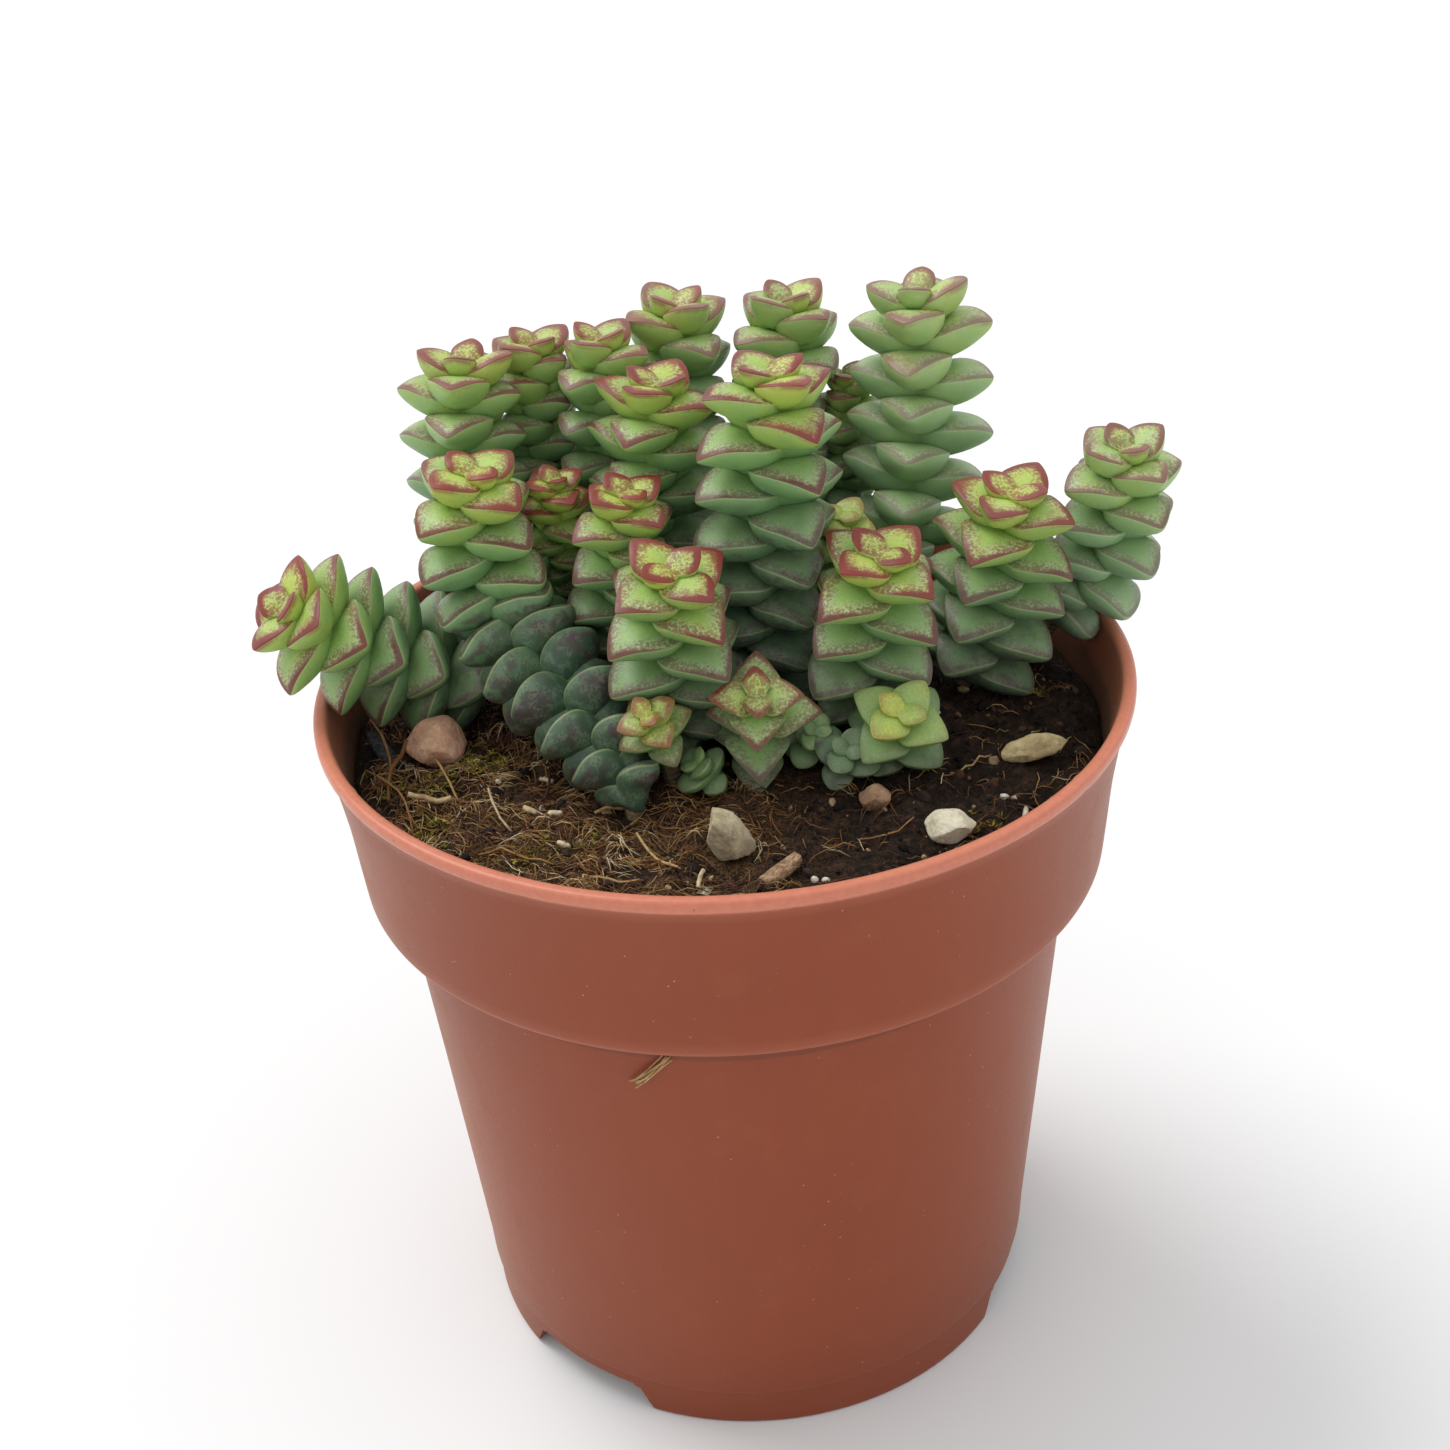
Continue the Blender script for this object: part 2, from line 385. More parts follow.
def pot_material():
    g = Graph("pot_terracotta_plastic", 0.44, 0.29)
    sep = g.t.nodes.new("ShaderNodeSeparateXYZ")
    g.t.links.new(g.mm, sep.inputs[0])
    z = sep.outputs["Z"]
    cloud = g.noise(0.05, 3.0)
    grain = g.noise(3.2, 4.0, 0.6)
    flow = g.noise(1.0, 2.0, 0.5, at=g.stretched(0.5, 0.5, 0.06))
    inside = g.value("inside")
    bead = g.value("bead")
    col = g.mix(cloud, (0.262, 0.052, 0.0160), (0.222, 0.043, 0.0130))
    col = g.mix(g.math("MULTIPLY", flow, 0.14), col, (0.34, 0.078, 0.032))
    col = g.mix(g.math("MULTIPLY", grain, 0.10), col, (0.16, 0.032, 0.013))
    # grime held in the corner under the collar
    grime = g.math("MULTIPLY", g.step(g.math("ADD", z, g.math("MULTIPLY", g.math("SUBTRACT", g.noise(0.25, 2.0), 0.5), 0.5)), 54.65, 55.05), g.math("SUBTRACT", 1.0, g.step(z, 57.6, 57.9)))
    col = g.mix(g.math("MULTIPLY", g.math("MULTIPLY", grime, 0.48), g.math("SUBTRACT", 1.0, inside)), col, (0.115, 0.033, 0.015))
    # darker just above the foot
    col = g.mix(g.math("MULTIPLY", g.step(z, 16.0, 0.0), 0.28), col, (0.13, 0.028, 0.014))
    # rim bead, worn paler
    col = g.mix(g.math("MULTIPLY", bead, g.remap(g.noise(1.6, 3.0), 0.35, 0.65, 0.56, 0.66)), col, (0.76, 0.275, 0.180))
    # the inside is darker, with soil dust up to the old water line
    col = g.mix(g.math("MULTIPLY", inside, 0.50), col, (0.24, 0.095, 0.060))
    dirt = g.math("MULTIPLY", inside, g.math("SUBTRACT", 1.0, g.step(g.math("ADD", z, g.math("MULTIPLY", g.noise(0.8, 4.0), 3.0)), 73.5, 76.0)))
    col = g.mix(g.math("MULTIPLY", dirt, 0.75), col, (0.055, 0.030, 0.018))
    # light dust in specks, some tiny dark ones
    out = g.math("SUBTRACT", 1.0, inside)
    keep = g.step(g.noise(0.09, 2.0), 0.42, 0.62)
    dust = g.math("SUBTRACT", 1.0, g.step(g.cells(0.62), 0.035, 0.075))
    col = g.mix(g.math("MULTIPLY", g.math("MULTIPLY", dust, keep), g.math("MULTIPLY", out, 0.55)), col, (0.62, 0.42, 0.33))
    dark = g.math("SUBTRACT", 1.0, g.step(g.cells(0.21), 0.012, 0.024))
    col = g.mix(g.math("MULTIPLY", dark, 0.8), col, (0.06, 0.025, 0.02))
    film = g.step(g.noise(0.16, 4.0, 0.65), 0.50, 0.80)
    col = g.mix(g.math("MULTIPLY", film, 0.06), col, (0.50, 0.24, 0.14))
    g.set("Base Color", col)
    g.set("Roughness", g.math("SUBTRACT", g.math("ADD", g.remap(grain, 0.3, 0.7, 0.40, 0.50), g.math("MULTIPLY", film, 0.10)), g.math("MULTIPLY", bead, 0.12)))
    g.out.inputs["Sheen Weight"].default_value = 0.11
    g.out.inputs["Sheen Roughness"].default_value = 0.35
    g.out.inputs["Sheen Tint"].default_value = (1.0, 0.70, 0.44, 1.0)
    g.bump(g.math("ADD", g.math("MULTIPLY", grain, 0.25), g.math("MULTIPLY", flow, 0.5)), 0.22, 0.06)
    return g.mat


def soil_material():
    g = Graph("peat_soil", 0.92, 0.22)
    big = g.noise(0.13, 3.0)
    mid = g.noise(0.9, 5.0, 0.65)
    fine = g.noise(4.0, 4.0, 0.65)
    col = g.ramp(g.math("ADD", g.math("MULTIPLY", mid, 0.6), g.math("MULTIPLY", fine, 0.4)),
                 [(0.32, (0.005, 0.004, 0.003)), (0.47, (0.016, 0.010, 0.007)), (0.58, (0.050, 0.026, 0.015)), (0.72, (0.150, 0.080, 0.040))])
    sep = g.t.nodes.new("ShaderNodeSeparateXYZ")
    g.t.links.new(g.mm, sep.inputs[0])
    front = g.math("MULTIPLY", g.math("MULTIPLY", g.step(sep.outputs["Y"], -2.0, -22.0), g.step(sep.outputs["X"], 14.0, -4.0)), g.step(big, 0.32, 0.58))
    col = g.mix(g.math("MULTIPLY", front, g.math("MULTIPLY", g.step(fine, 0.40, 0.62), 0.75)), col, (0.23, 0.120, 0.045))
    g.set("Base Color", col)
    g.bump(g.math("ADD", mid, g.math("MULTIPLY", fine, 0.6)), 0.9, 0.5)
    return g.mat


def crumb_material():
    g = Graph("peat_crumbs", 0.9, 0.25)
    kind = g.value("kind")
    fine = g.noise(3.5, 4.0, 0.65)
    col = g.ramp(kind, [(0.0, (0.006, 0.005, 0.004)), (0.34, (0.022, 0.014, 0.012)), (0.56, (0.060, 0.036, 0.030)),
                        (0.74, (0.120, 0.058, 0.030)), (0.88, (0.27, 0.140, 0.060)), (1.0, (0.50, 0.36, 0.21))])
    col = g.mix(g.math("MULTIPLY", g.step(fine, 0.40, 0.70), 0.45), col, (0.015, 0.009, 0.006))
    g.set("Base Color", col)
    g.bump(fine, 0.8, 0.25)
    return g.mat


def fibre_material():
    g = Graph("straw_fibres", 0.7, 0.3)
    kind = g.value("kind")
    fine = g.noise(2.2, 3.0)
    col = g.ramp(kind, [(0.0, (0.016, 0.010, 0.007)), (0.28, (0.080, 0.036, 0.020)), (0.50, (0.225, 0.100, 0.034)),
                        (0.72, (0.37, 0.205, 0.070)), (0.90, (0.52, 0.36, 0.16)), (1.0, (0.70, 0.60, 0.40))])
    col = g.mix(g.math("MULTIPLY", g.step(fine, 0.45, 0.7), 0.4), col, (0.06, 0.035, 0.018))
    col = g.mix(g.math("MULTIPLY", g.step(g.noise(0.35, 3.0), 0.50, 0.66), 0.42), col, (0.17, 0.052, 0.020))
    g.set("Base Color", col)
    g.bump(g.noise(5.0, 2.0), 0.4, 0.08)
    return g.mat


def moss_material():
    g = Graph("moss", 0.8, 0.25)
    kind = g.value("kind")
    col = g.ramp(kind, [(0.0, (0.060, 0.052, 0.010)), (0.35, (0.19, 0.135, 0.022)), (0.7, (0.32, 0.250, 0.040)), (1.0, (0.44, 0.40, 0.070))])
    col = g.mix(g.math("MULTIPLY", g.step(g.noise(2.4, 3.0), 0.45, 0.7), 0.5), col, (0.045, 0.045, 0.012))
    g.set("Base Color", col)
    g.bump(g.noise(5.0, 2.0), 0.4, 0.08)
    return g.mat


def perlite_material():
    g = Graph("perlite", 0.75, 0.35)
    fine = g.noise(3.0, 4.0, 0.6)
    g.set("Base Color", g.ramp(fine, [(0.3, (0.42, 0.38, 0.30)), (0.5, (0.72, 0.68, 0.58)), (0.7, (0.86, 0.83, 0.75))]))
    g.bump(fine, 0.7, 0.2)
    return g.mat


def stone_material(name, light, main, dark, vein, vein_amount):
    g = Graph(name, 0.78, 0.35)
    big = g.noise(0.35, 4.0, 0.6)
    fine = g.noise(2.6, 5.0, 0.65)
    grit = g.cells(3.4)
    col = g.ramp(g.math("ADD", g.math("MULTIPLY", big, 0.65), g.math("MULTIPLY", fine, 0.35)),
                 [(0.30, dark), (0.50, main), (0.68, light)])
    col = g.mix(g.math("MULTIPLY", g.step(g.noise(0.7, 3.0, 0.6, 1.2), 0.52, 0.62), vein_amount), col, vein)
    col = g.mix(g.math("MULTIPLY", g.math("SUBTRACT", 1.0, g.step(grit, 0.12, 0.30)), 0.35), col, dark)
    g.set("Base Color", col)
    g.bump(g.math("ADD", fine, g.math("MULTIPLY", grit, 0.4)), 0.55, 0.16)
    return g.mat


def wood_material(name, light, dark, rough=0.8):
    g = Graph(name, rough, 0.3)
    grain = g.noise(1.4, 4.0, 0.6, 0.6, at=g.stretched(1.0, 1.0, 2.4))
    streak = g.noise(3.6, 3.0, 0.5)
    g.set("Base Color", g.mix(g.step(g.math("ADD", g.math("MULTIPLY", grain, 0.7), g.math("MULTIPLY", streak, 0.3)), 0.36, 0.64), dark, light))
    g.bump(g.math("ADD", grain, g.math("MULTIPLY", streak, 0.5)), 0.6, 0.18)
    return g.mat


def stem_material():
    g = Graph("woody_stem", 0.72, 0.3)
    rings = g.noise(1.6, 4.0, 0.6, at=g.stretched(0.6, 0.6, 2.2))
    spots = g.noise(4.0, 3.0)
    col = g.ramp(rings, [(0.32, (0.055, 0.040, 0.024)), (0.5, (0.15, 0.115, 0.065)), (0.7, (0.27, 0.22, 0.13))])
    col = g.mix(g.math("MULTIPLY", g.step(spots, 0.5, 0.7), 0.4), col, (0.13, 0.16, 0.06))
    g.set("Base Color", col)
    g.bump(rings, 0.7, 0.2)
    return g.mat


M_LEAF = leaf_material()
M_POT = pot_material()
M_SOIL = soil_material()
M_CRUMB = crumb_material()
M_FIBRE = fibre_material()
M_MOSS = moss_material()
M_PERLITE = perlite_material()
M_STEM = stem_material()


# ---- axis of a shoot and places of its pairs -----------------------------------
def spline(points, n=14):
    p = [Vector(q) for q in points]
    p = [p[0] * 2.0 - p[1]] + p + [p[-1] * 2.0 - p[-2]]
    out = []
    for i in range(1, len(p) - 2):
        a, b, c, d = p[i - 1], p[i], p[i + 1], p[i + 2]
        for k in range(n):
            t = k / n
            out.append(0.5 * (2.0 * b + (c - a) * t + (2.0 * a - 5.0 * b + 4.0 * c - d) * t * t
                              + (3.0 * b - a - 3.0 * c + d) * t ** 3))
    out.append(p[-2].copy())
    return out


class Axis:
    def __init__(self, points):
        self.p = spline(points)
        self.s = [0.0]
        for a, b in zip(self.p, self.p[1:]):
            self.s.append(self.s[-1] + (b - a).length)
        self.length = self.s[-1]

    def at(self, s):
        s = max(0.0, min(self.length, s))
        i = 0
        while i < len(self.s) - 2 and self.s[i + 1] < s:
            i += 1
        t = (s - self.s[i]) / max(1e-9, self.s[i + 1] - self.s[i])
        return self.p[i].lerp(self.p[i + 1], t)

    def tangent(self, s):
        return (self.at(s + 1.2) - self.at(s - 1.2)).normalized()


def pair_places(axis, bare, step):
    s = axis.length - TIP_STEPS[0] * step
    out = []
    k = 1
    while s > bare and len(out) < MAX_PAIRS:
        out.append(s)
        s -= (TIP_STEPS[k] if k < len(TIP_STEPS) else 1.0) * step
        k += 1
    return out


def outline(u):
    if u < 0.38:
        return 0.62 + 0.38 * math.sin(math.pi / 2 * u / 0.38)
    t = (u - 0.38) / 0.62
    return (1.0 - t) + 0.14 * math.sin(math.pi * t)


def keel(u):
    return max(0.0, 1.0 - u ** 2.4) ** 0.8


def test_pair(size, leaf, lift, trim, root, style, grow):
    """Coarse closed shape of one pair, a little larger than the pair, that the
    clearance to its neighbours is tested with. It is the shape that the CAD
    source tests with."""
    rings = RINGS_TEST
    bm = bmesh.new()
    bmesh.ops.create_uvsphere(bm, u_segments=8, v_segments=2 * len(rings), radius=1.0)
    width = style[2] * leaf * size
    depth = style[1] * leaf * size ** 0.7
    lift = math.radians(lift)
    for v in bm.verts:
        side = 0 if v.co.z >= 0.0 else 1
        f = trim[side]
        k = int(round(math.asin(min(1.0, abs(v.co.z))) / (math.pi / (2 * len(rings)))))
        u = 1.0 if k == len(rings) else rings[k]
        c, d = math.cos(math.atan2(v.co.y, v.co.x)), math.sin(math.atan2(v.co.y, v.co.x))
        blend = min(1.0, u / 0.42)
        y = z = 0.0
        if k < len(rings):
            w = width * outline(u) * (1.0 + (f - 1.0) * blend)
            if k == 0:
                w = min(w, 0.5 * leaf)
            y = w * c
            if d < -0.01:
                reach = root * (1.0 - blend) + depth * keel(u) * blend
                z = -reach * (1.0 + (0.5 * f - 0.5) * blend) * abs(d) ** 0.9
                y = w * math.copysign(abs(c) ** 0.85, c)
            elif d > 0.01:
                z = 0.02 * leaf * d
        length = leaf * size * f
        rise = lift + math.radians(style[0]) * (0.45 - u)
        x = u * length * math.cos(rise) - z * math.sin(lift * 0.6) * blend
        z = u * length * math.sin(rise) + z * (1.0 + (math.cos(lift * 0.6) - 1.0) * blend)
        if k == 0:
            x = 0.0
        v.co = Vector((x if side == 0 else -x, y, z))
    bmesh.ops.recalc_face_normals(bm, faces=bm.faces)
    bm.normal_update()
    moved = [(v, v.co + v.normal * grow) for v in bm.verts]
    for v, c in moved:
        v.co = c
    return bm


def pair_frame(axis, s, spin):
    p = axis.at(s)
    t = axis.tangent(s)
    h = Vector((math.cos(math.radians(spin)), math.sin(math.radians(spin)), 0.0))
    x = (h - t * h.dot(t)).normalized()
    y = t.cross(x)
    return Matrix(((x.x, y.x, t.x, p.x), (x.y, y.y, t.y, p.y), (x.z, y.z, t.z, p.z), (0, 0, 0, 1)))


def node_tree_of(name):
    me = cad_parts[name].data
    vs = [v.co / MM for v in me.vertices]
    fs = [list(p.vertices) for p in me.polygons]
    return BVHTree.FromPolygons(vs, fs)


fixed = [node_tree_of(n) for n in ["pot", "soil"] + [s[0] for s in STONES] + [b[0] for b in BITS]]
pairs = []
axes = []
for si, (name, pts, leaf, spin, step, bare) in enumerate(SHOOTS):
    ax = Axis(pts)
    axes.append(ax)
    places = pair_places(ax, bare, step)
    style = STYLE.get(name, PLAIN)
    for k, s in enumerate(places):
        size = PAIR_SIZE[k] if k < len(PAIR_SIZE) else 1.0
        lift = (PAIR_LIFT[k] if k < len(PAIR_LIFT) else LIFT_OLD) + style[0]
        if k >= len(places) - 2 and len(places) > 4:
            size *= 0.92
        if name == LOW_BEADS[0]:
            size *= min(1.0, LOW_BEADS[2] + (1.0 - LOW_BEADS[2]) * s / LOW_BEADS[1])
        nod = NOD * min(1.0, k / 3.0) if name != "front_rosette" else 8.0
        fr = pair_frame(ax, s, spin + 90.0 * k)
        below = places[k + 1] if k + 1 < len(places) else s - 2.6
        pairs.append([si, fr, size, leaf, lift, [1.0, 1.0], True, s, s - below + ROOT_OVER, k, (nod, style[1], style[2])])

for it in range(26):
    built = []
    for q in pairs:
        if not q[6]:
            built.append(None)
            continue
        bm = test_pair(q[2], q[3], q[4], q[5], q[8], q[10], 0.22)
        bm.verts.index_update()
        bm.verts.ensure_lookup_table()
        vs = [q[1] @ v.co for v in bm.verts]
        fs = [[v.index for v in f.verts] for f in bm.faces]
        sides = [0 if sum(bm.verts[i].co.x for i in f) >= 0 else 1 for f in fs]
        bm.free()
        built.append((BVHTree.FromPolygons(vs, fs), sides, q[1].translation.copy(), q[3] * q[2] + 1.0))
    hit = [[0, 0] for _ in pairs]
    for i, a in enumerate(pairs):
        if built[i] is None:
            continue
        ti, sa, ca, ra = built[i]
        for t in fixed:
            for f, g in ti.overlap(t):
                hit[i][sa[f]] += 2
        for j in range(i + 1, len(pairs)):
            if built[j] is None or pairs[j][0] == a[0]:
                continue
            tj, sb, cb, rb = built[j]
            if (ca - cb).length > ra + rb:
                continue
            for f, g in ti.overlap(tj):
                hit[i][sa[f]] += 1
                hit[j][sb[g]] += 1
    busy = False
    for i, q in enumerate(pairs):
        for side in (0, 1):
            if hit[i][side]:
                busy = True
                if q[5][side] > MIN_TRIM:
                    q[5][side] = max(MIN_TRIM, q[5][side] * 0.93)
                elif it > 12:
                    q[6] = False
    if not busy:
        break
print("leaf pairs", sum(1 for q in pairs if q[6]), "of", len(pairs), "rounds", it)

# ---- a leaf pair with its full form ----------------------------------------------
TOP_T = np.sin(np.linspace(0.5, -0.5, 15) * math.pi)          # across the top face, dense at the margins
LOW_A = np.radians(np.array([175, 167, 156, 143, 127, 109, 90, 71, 53, 37, 24, 13, 5], float))
RING_U = np.array([0.0, 0.07, 0.15, 0.24, 0.33, 0.42, 0.51, 0.60, 0.69, 0.77, 0.84, 0.90, 0.945, 0.975, 0.992])
ROUND = {"left_trailing": 0.45, "back_right_tall": 0.55, "back_left": 0.48, "back_left_mid": 0.45, "back_mid_left": 0.45,
         "back_mid": 0.48, "back_mid_right": 0.48, "back_hidden": 0.45, "mid_left_centre": 0.28, "far_right": 0.45, "far_left_over_rim": 0.30, "front_low": 0.7,
         "low_sprout_left": 0.8, "low_sprout_right": 0.8, "front_rosette": -0.1, "front_bud_left": 0.3, "front_bud_right": 0.25,
         "right_bud": 0.4, "main_centre": 0.15, "left_small": 0.3}


def leaf_side(q, side, rng, age):
    """Points (ring, round the ring, xyz) of one leaf and its tip, in the pair's
    frame, with the distance from the margin and the place along the leaf."""
    si, fr, size, leaf, lift, trim, alive, s, root, k, style = q
    f = trim[side]
    width = style[2] * leaf * size * (1.0 + 0.04 * rng.uniform(-1.0, 1.0))
    depth = style[1] * leaf * size ** 0.7
    length = leaf * size * f * (1.0 + 0.03 * rng.uniform(-1.0, 0.6))
    a = math.radians(lift + rng.uniform(-2.5, 2.5))
    u = RING_U[:, None]
    old = float(smoothstep(age, 0.15, 0.85))
    soft = min(1.0, max(0.0, 0.50 * old + ROUND.get(SHOOTS[si][0], 0.10) + (0.35, 0.18, 0.0)[min(k, 2)]))
    # plan: a waist at the stem, broadest before the middle, then nearly straight
    # margins that meet in a blunt tip
    p = 0.37 + 0.08 * soft
    waist = 0.62 - 0.06 * soft
    t = np.clip((u - p) / (1.0 - p), 0.0, 1.0)
    m, n = 1.20 + 0.65 * soft, 0.86 - 0.28 * soft
    share = np.where(u < p, waist + (1.0 - waist) * np.sin(math.pi / 2 * np.minimum(u, p) / p), (1.0 - t ** m) ** n)
    blend = smoothstep(u, 0.0, 0.42)
    w = width * share * (1.0 + (f - 1.0) * blend)
    w[0] = min(w[0, 0], 0.5 * leaf)
    lean = rng.uniform(-0.06, 0.06) * leaf * size            # the tip leans a little to one side
    # top face: a cushion that rolls over at the margins
    T = TOP_T[None, :]
    full = 0.040 + 0.060 * soft
    camber = leaf * size * full * (0.45 + 0.55 * np.sin(math.pi * np.clip(u, 0.0, 1.0) ** 0.8)) * (1.0 - u ** 6)
    y_top = w * T
    z_top = camber * (1.0 - np.abs(T) ** 2.6) ** 0.75
    edge_top = (w * (1.0 - np.abs(T))) * 0.80 + 0.0 * u
    # underside: a boat with a soft keel, deepest under the middle
    A = LOW_A[None, :]
    kee = np.maximum(0.0, 1.0 - u ** (2.7 + 1.2 * soft)) ** (0.80 - 0.15 * soft)
    reach = (root * (1.0 - blend) + depth * kee * blend) * (1.0 + (0.5 * f - 0.5) * blend)
    c, d = np.cos(A), np.abs(np.sin(A))
    bulge = 1.0 + 0.05 * np.sin(d * math.pi) * blend * soft
    y_low = w * bulge * np.sign(c) * np.abs(c) ** (1.0 - 0.10 * soft)
    z_low = -reach * d ** (1.36 - 0.34 * soft)
    arc = np.minimum(np.abs(A), math.pi - np.abs(A))
    edge_low = -(np.minimum(w, reach + 0.5) * arc * 1.1)
    y = np.concatenate([y_top, y_low], axis=1)
    z = np.concatenate([z_top + 0.0 * w, z_low], axis=1)
    edge = np.concatenate([edge_top, edge_low], axis=1)
    y = y + lean * u ** 2
    # slight waves of the margin and dents in the face
    ph = rng.uniform(0.0, math.tau, 3)
    z = z + 0.010 * leaf * size * np.sin(5.0 * u + 2.2 * y / max(0.5, width) + ph[0]) * blend
    y = y * (1.0 + 0.018 * np.sin(9.0 * u + ph[1]) * blend)
    # the older the pair, the more its tips nod
    curl = -math.radians(style[0])
    ang = a + curl * (u - 0.45) - math.radians(4.0) * min(1.0, k / 3.0) * np.clip((u - 0.72) / 0.28, 0.0, 1.0) ** 2
    x = u * length * np.cos(ang) - z * math.sin(a * 0.6) * blend
    zz = u * length * np.sin(ang) + z * (1.0 + (math.cos(a * 0.6) - 1.0) * blend)
    x = np.broadcast_to(x, y.shape).copy()
    x[0] = 0.0
    zz = zz.copy()
    zz[0] = z[0]
    along = np.broadcast_to(u, y.shape)
    ang1 = a + curl * 0.55 - math.radians(4.0) * min(1.0, k / 3.0)
    wave = 0.010 * leaf * size * math.sin(5.0 + ph[0])
    tip = np.array([length * math.cos(ang1), lean * (1.0 + 0.018 * math.sin(9.0 + ph[1])), length * math.sin(ang1) + wave])
    if side == 1:
        x = -x
        tip[0] = -tip[0]
    return np.stack([x, y, zz], axis=2), edge, along, tip


def leaf_pair(q, rng, age, haze, blush):
    """Closed skin of one pair in world mm, its faces and the values a point."""
    n = len(TOP_T) + len(LOW_A)
    m = len(RING_U)
    P0, e0, l0, tip0 = leaf_side(q, 0, rng, age)
    P1, e1, l1, tip1 = leaf_side(q, 1, rng, age)
    P0[0] = P1[0] = (P0[0] + P1[0]) / 2.0
    verts = [P0.reshape(-1, 3), P1[1:].reshape(-1, 3), tip0[None], tip1[None]]
    edge = np.concatenate([e0.ravel(), e1[1:].ravel(), [0.0, 0.0]])
    along = np.concatenate([l0.ravel(), l1[1:].ravel(), [1.0, 1.0]])
    v = np.concatenate(verts)
    t0, t1 = rng.uniform(), rng.uniform()
    tint = np.concatenate([np.full(m * n, t0), np.full((m - 1) * n, t1), [t0, t1]])
    tint[:n] = (t0 + t1) / 2.0
    R = np.array(q[1])
    v = v @ R[:3, :3].T + R[:3, 3]
    faces = []
    tipi = (2 * m - 1) * n
    for r in range(m - 1):
        a, b = r * n, (r + 1) * n
        for i in range(n):
            j = (i + 1) % n
            faces.append((a + i, a + j, b + j, b + i))
    last = (m - 1) * n
    for i in range(n):
        faces.append((last + i, last + (i + 1) % n, tipi))
    def ring(r):
        return 0 if r == 0 else (m + r - 1) * n
    for r in range(m - 1):
        a, b = ring(r), ring(r + 1)
        for i in range(n):
            j = (i + 1) % n
            faces.append((b + i, b + j, a + j, a + i))
    last = ring(m - 1)
    for i in range(n):
        faces.append((last + (i + 1) % n, last + i, tipi + 1))
    return v, faces, {"edge": edge, "along": along, "age": np.full(len(v), age), "tint": tint, "haze": np.full(len(v), haze), "blush": np.full(len(v), blush)}


def gather(parts):
    """One set of points, faces and values from several."""
    verts, faces, attrs, base = [], [], {}, 0
    for v, f, a in parts:
        verts.append(v)
        faces.extend([tuple(i + base for i in q) for q in f])
        for key, values in a.items():
            attrs.setdefault(key, []).append(values)
        base += len(v)
    return np.concatenate(verts), faces, {k: np.concatenate(x) for k, x in attrs.items()}


for si, (name, pts, leaf, spin, step, bare) in enumerate(SHOOTS):
    rng = np.random.default_rng(1000 + si)
    ax = axes[si]
    shift, haze = TONE.get(name, (0.0, 0.04))
    own = [q for q in pairs if q[0] == si and q[6]]
    parts = []
    for q in own:
        age = min(1.0, max(0.0, (ax.length - q[7] - 0.8) / FADE.get(name, 30.0) + shift))
        parts.append(leaf_pair(q, rng, age, haze * (0.5 + 0.5 * min(1.0, (ax.length - q[7]) / 12.0)), BLUSH.get(name, 1.0)))
    v, f, a = gather(parts)
    o = put_object("foliage_" + name, mesh_from("foliage_" + name, v, f, True, a), M_LEAF)
    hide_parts("leaves_" + name)
    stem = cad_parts["stem_" + name]
    stem.data.materials.clear()
    stem.data.materials.append(M_STEM)


# ---- pot -------------------------------------------------------------------------
FINE_POT = (                       # radius, height, inside, bead
    (0.0, 5.2, 1, 0), (10.0, 5.2, 1, 0), (20.0, 5.2, 1, 0), (28.0, 5.2, 1, 0), (29.6, 5.35, 1, 0), (30.65, 5.8, 1, 0),
    (31.6, 18.0, 1, 0), (32.7, 32.0, 1, 0), (33.9, 46.0, 1, 0), (35.1, 59.5, 1, 0), (38.6, 59.5, 1, 0),
    (38.85, 62.5, 1, 0), (39.1, 66.0, 1, 0), (39.6, 69.8, 1, 0), (40.1, 73.5, 1, 0), (40.5, 75.3, 1, 0), (40.95, 77.2, 1, 0.3),
    (41.05, 77.5, 1, 0.6), (41.18, 77.72, 0.6, 0.9), (41.38, 77.85, 0.2, 1), (41.65, 77.9, 0, 1), (42.0, 77.9, 0, 1), (42.22, 77.86, 0, 1),
    (42.38, 77.76, 0, 1), (42.47, 77.62, 0, 1), (42.5, 77.42, 0, 1), (42.5, 76.98, 0, 1), (42.46, 76.78, 0, 1),
    (42.35, 76.58, 0, 0.9), (42.18, 76.42, 0, 0.7), (42.02, 76.28, 0, 0.4), (41.90, 76.0, 0, 0.15), (41.66, 74.9, 0, 0), (41.4, 73.6, 0, 0),
    (41.0, 71.0, 0, 0), (40.6, 68.1, 0, 0), (40.36, 65.4, 0, 0), (40.15, 62.7, 0, 0), (39.93, 60.2, 0, 0), (39.82, 59.0, 0, 0.12),
    (39.78, 58.72, 0, 0.22), (39.70, 58.5, 0, 0.22), (39.56, 58.36, 0, 0.15), (39.40, 58.3, 0, 0), (38.0, 58.3, 0, 0), (36.8, 58.3, 0, 0),
    (36.55, 58.28, 0, 0), (36.40, 58.16, 0, 0), (36.32, 57.95, 0, 0), (36.29, 57.6, 0, 0), (35.9, 53.5, 0, 0), (35.15, 44.5, 0, 0),
    (34.4, 35.5, 0, 0), (33.65, 26.0, 0, 0), (32.85, 16.0, 0, 0), (32.25, 8.5, 0, 0), (32.0, 5.45, 0, 0), (31.97, 5.22, 0, 0),
    (31.90, 5.12, 0, 0), (31.72, 5.02, 0, 0), (31.66, 4.92, 0, 0), (31.65, 4.7, 0, 0), (31.52, 1.0, 0, 0), (31.50, 0.45, 0, 0),
    (31.44, 0.2, 0, 0), (31.33, 0.06, 0, 0), (31.18, 0.0, 0, 0), (30.48, 0.0, 0, 0), (30.34, 0.05, 0, 0), (30.28, 0.2, 0, 0),
    (30.22, 2.0, 0, 0), (30.2, 4.0, 0, 0), (20.0, 4.0, 0, 0), (10.0, 4.0, 0, 0), (0.0, 4.0, 0, 0),
)
